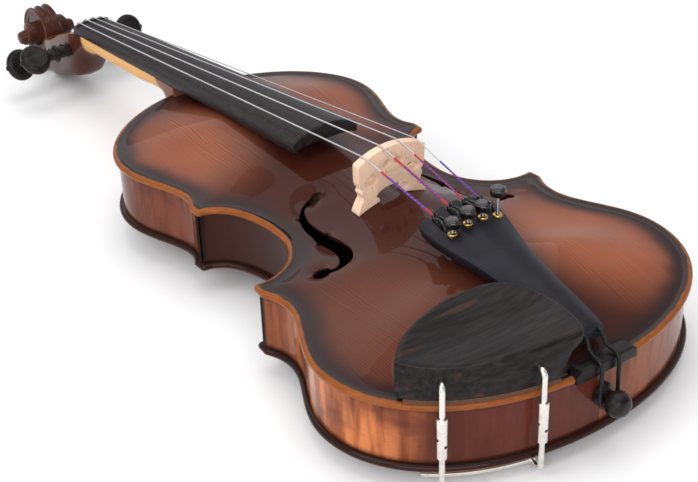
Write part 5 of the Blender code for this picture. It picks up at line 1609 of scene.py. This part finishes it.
def rest_under(flat):
    """Low foot along the belly's edge, and a thin overhanging plate further in."""
    lift = np.maximum(smooth(14.0, 20.0, edge_distance(flat)), smooth(-25.0, -18.0, flat[:, 0]))
    return mix(REST_FLOOR, rest_top(flat) - REST_THICK, lift)


def make_chinrest():
    """The cup, with a rounded rim and two bores for the clamp's rods."""
    rims = [(1.2, rest_under)]
    for inset, lift in ((0.25, 0.35), (0.0, 1.2)):
        rims.append((inset, lambda flat, lift=lift: rest_under(flat) + lift))
    for inset, drop in ((0.0, 2.3), (0.17, 1.45), (0.62, 0.62), (1.4, 0.14)):
        rims.append((inset, lambda flat, drop=drop: rest_top(flat) - drop))
    shape = plate_shell(rest_outline(), [], 3.0, rest_top, rest_under, rims, inner_finish=0)
    cutters = [tube(rod_path(name, inner_end=13.0)[:8], ROD_RADIUS + 0.15, 20) for name in CLAMP_PLACES]
    add_piece(
        "chinrest_wood", carve(shape, cutters), [REST_EBONY], "violin", ["chinrest"], sharp=38.0)
    make_rest_cork()


def band_solid(band, top, under):
    """A strip between a line and another that runs back, its heights given at points."""
    count = len(band) // 2
    outer, inner = band[:count], list(reversed(band[count:]))
    sections = []
    for near, far in zip(outer, inner):
        line = [(mix(near[0], far[0], t), mix(near[1], far[1], t)) for t in (0.0, 0.33, 0.67, 1.0)]
        ring = [(x, y, top(x, y)) for x, y in line]
        sections.append(ring + [(x, y, under(x, y)) for x, y in reversed(line)])
    return loft(sections)


def make_rest_cork():
    band = edge_band(bout_edge(0.8, 22.0, LOWER_BOUT[0], 34.0), 9.0)
    pad = band_solid(band, lambda x, y: REST_FLOOR - 0.05, lambda x, y: belly_top(x, y) + 0.12)
    # The pad's dark cork is painted shade in the gap under the chinrest.
    add_piece("chinrest_pad", pad, [SHADED_CORK], "violin", ["chinrest_cork"])


def clamp_direction(name):
    """Unit vector in the plane from the clamp's leg towards the body."""
    x, y = CLAMP_PLACES[name]
    nearest = min(range(len(ARCH_LINE)), key=lambda i: math.dist(ARCH_LINE[i], (-x, y)))
    (ax, ay), (bx, by) = ARCH_LINE[max(nearest - 1, 0)], ARCH_LINE[nearest + 1]
    along = Vector((bx - ax, by - ay)).normalized()
    return Vector((along.y, along.x))


def rod_path(name, inner_end):
    """The upper rod: out of the chinrest's wall, a quarter turn, and down into the barrel."""
    x, y = CLAMP_PLACES[name]
    into = clamp_direction(name)
    height, bend = 12.6, 3.2
    points = [(inner_end, height), (bend, height)]
    for i in range(1, 8):
        angle = math.pi / 2 * i / 7
        points.append((bend * (1.0 - math.sin(angle)), height - bend * (1.0 - math.cos(angle))))
    points.append((0.0, BARREL_TOP - 6.5))
    return [(x + into.x * run, y + into.y * run, z) for run, z in points]


def make_clamp():
    for name, (x, y) in CLAMP_PLACES.items():
        rod = tube(rod_path(name, inner_end=12.0), ROD_RADIUS, 24)
        add_piece(f"clamp_rod_{name}_wire", rod, [NICKEL], "violin", [f"clamp_rod_{name}"])
        low = BARREL_BOTTOM - BARREL_TOP
        rows = [(low, 1.6), (low, 2.15), (low + 0.35, 2.5), (low + 0.9, BARREL_RADIUS)]
        rows += [(-0.9, BARREL_RADIUS), (-0.35, 2.5), (0.0, 2.15), (0.0, 1.6)]
        barrel = turned(rows, 40, "z", hollow=True)
        pin = [(-6.0, 0.85), (6.0, 0.85)]
        holes = [turned(pin, 20, axis, (0.0, 0.0, at)) for axis, at in (("x", -11.0), ("y", -14.6))]
        shape = bevelled(carve(barrel, holes), 0.12, 1, 50.0)
        node = f"clamp_barrel_{name}"
        add_piece(f"{node}_tube", shape, [NICKEL], node, [node], pivot=(x, y, BARREL_TOP))
    make_bracket()


def make_bracket():
    """Two legs joined by a flat bar that grips under the back's edge."""
    first, last = -CLAMP_PLACES["inner"][0] - 7.0, -CLAMP_PLACES["outer"][0] + 4.0
    bar_top = BACK_BOTTOM - 2.4
    band = edge_band(bout_edge(3.2, first, last, 60.0), 4.8)
    bar = bevelled(band_solid(band, lambda x, y: bar_top, lambda x, y: bar_top - 2.0), 0.4, 2)
    legs = []
    foot = bar_top - 1.0
    points = [(0.0, BARREL_BOTTOM + 6.5), (0.0, foot + 3.2), (0.25, foot + 1.7), (0.95, foot + 0.75)]
    points += [(2.0, foot + 0.15), (3.0, foot), (7.6, foot)]
    for name, (x, y) in CLAMP_PLACES.items():
        into = clamp_direction(name)
        path = [(x + into.x * run, y + into.y * run, z) for run, z in points]
        legs.append(tube(path, [ROD_RADIUS] * 3 + [1.35, 1.2, 1.0, 0.9], 20))
    add_piece(
        "clamp_bracket_bar", merged(bar, *legs), [NICKEL], "clamp_bracket", ["clamp_bracket"])
    pad = band_solid(
        band, lambda x, y: BACK_BOTTOM - float(arch([(x, y)], BACK_ARCH)[0]) - 0.35,
        lambda x, y: bar_top + 0.05)
    # The bracket's pad takes the same dark cork, painted shade under the back's edge.
    add_piece("bracket_pad", pad, [SHADED_CORK], "clamp_bracket", ["bracket_cork"])


# ---------------------------------------------------------------- studio

def area_light(name, place, target, size, power):
    """A soft light at a place in the room, in metres, that faces target."""
    data = bpy.data.lights.new(name, "AREA")
    data.shape = "RECTANGLE"
    data.size, data.size_y = size
    data.energy = power
    light = bpy.data.objects.new(name, data)
    light.location = place
    light.rotation_euler = (Vector(target) - Vector(place)).to_track_quat("-Z", "Y").to_euler()
    bpy.context.scene.collection.objects.link(light)


def make_studio():
    floor_shape = bmesh.new()
    corners = [floor_shape.verts.new((x, y, 0.0)) for x, y in ((-4, -4), (4, -4), (4, 4), (-4, 4))]
    floor_shape.faces.new(corners)
    mesh = bpy.data.meshes.new("studio_floor")
    floor_shape.to_mesh(mesh)
    floor_shape.free()
    mesh.materials.append(floor_finish())
    floor = bpy.data.objects.new("studio_floor", mesh)
    bpy.context.scene.collection.objects.link(floor)
    area_light("softbox_far", (0.6, 1.5, 1.5), (0.0, 0.0, 0.0), (2.4, 1.2), 8.0)
    area_light("softbox_left", (-1.5, -0.2, 1.3), (0.0, 0.0, 0.0), (1.0, 1.6), 12.0)
    area_light("softbox_front", (-0.9, -1.4, 0.75), (0.0, -0.1, 0.0), (1.5, 1.0), 16.0)
    area_light("softbox_top", (0.1, -0.1, 1.9), (0.0, 0.0, 0.0), (1.6, 1.6), 14.0)
    world = bpy.data.worlds.new("studio")
    world.use_nodes = True
    back = world.node_tree.nodes["Background"]
    back.inputs["Color"].default_value = (0.97, 0.98, 1.0, 1.0)
    back.inputs["Strength"].default_value = 0.60
    bpy.context.scene.world = world
    bpy.context.scene.view_settings.view_transform = "Standard"


def make_camera():
    ahead, right = Vector(CAMERA_AHEAD), Vector(CAMERA_RIGHT)
    up = right.cross(ahead)
    axes = Matrix((right, up, -ahead)).transposed().to_4x4()
    data = bpy.data.cameras.new("photo_camera")
    data.sensor_width = SENSOR
    data.lens = SENSOR * FOCAL_PIXELS / IMAGE_WIDTH
    data.clip_start = 0.01
    camera = bpy.data.objects.new("photo_camera", data)
    camera.matrix_world = PLACE @ Matrix.Translation(Vector(CAMERA_PLACE) * MM) @ axes
    bpy.context.scene.collection.objects.link(camera)
    bpy.context.scene.camera = camera


def build():
    make_belly()
    make_back()
    make_ribs()
    shade_inside_parts()
    make_neck()
    make_fingerboard()
    make_nut()
    make_pegs()
    make_strings()
    make_bridge()
    make_tailpiece()
    make_tuners()
    make_saddle()
    make_endpin()
    make_tailgut()
    make_chinrest()
    make_clamp()
    make_studio()
    make_camera()


build()
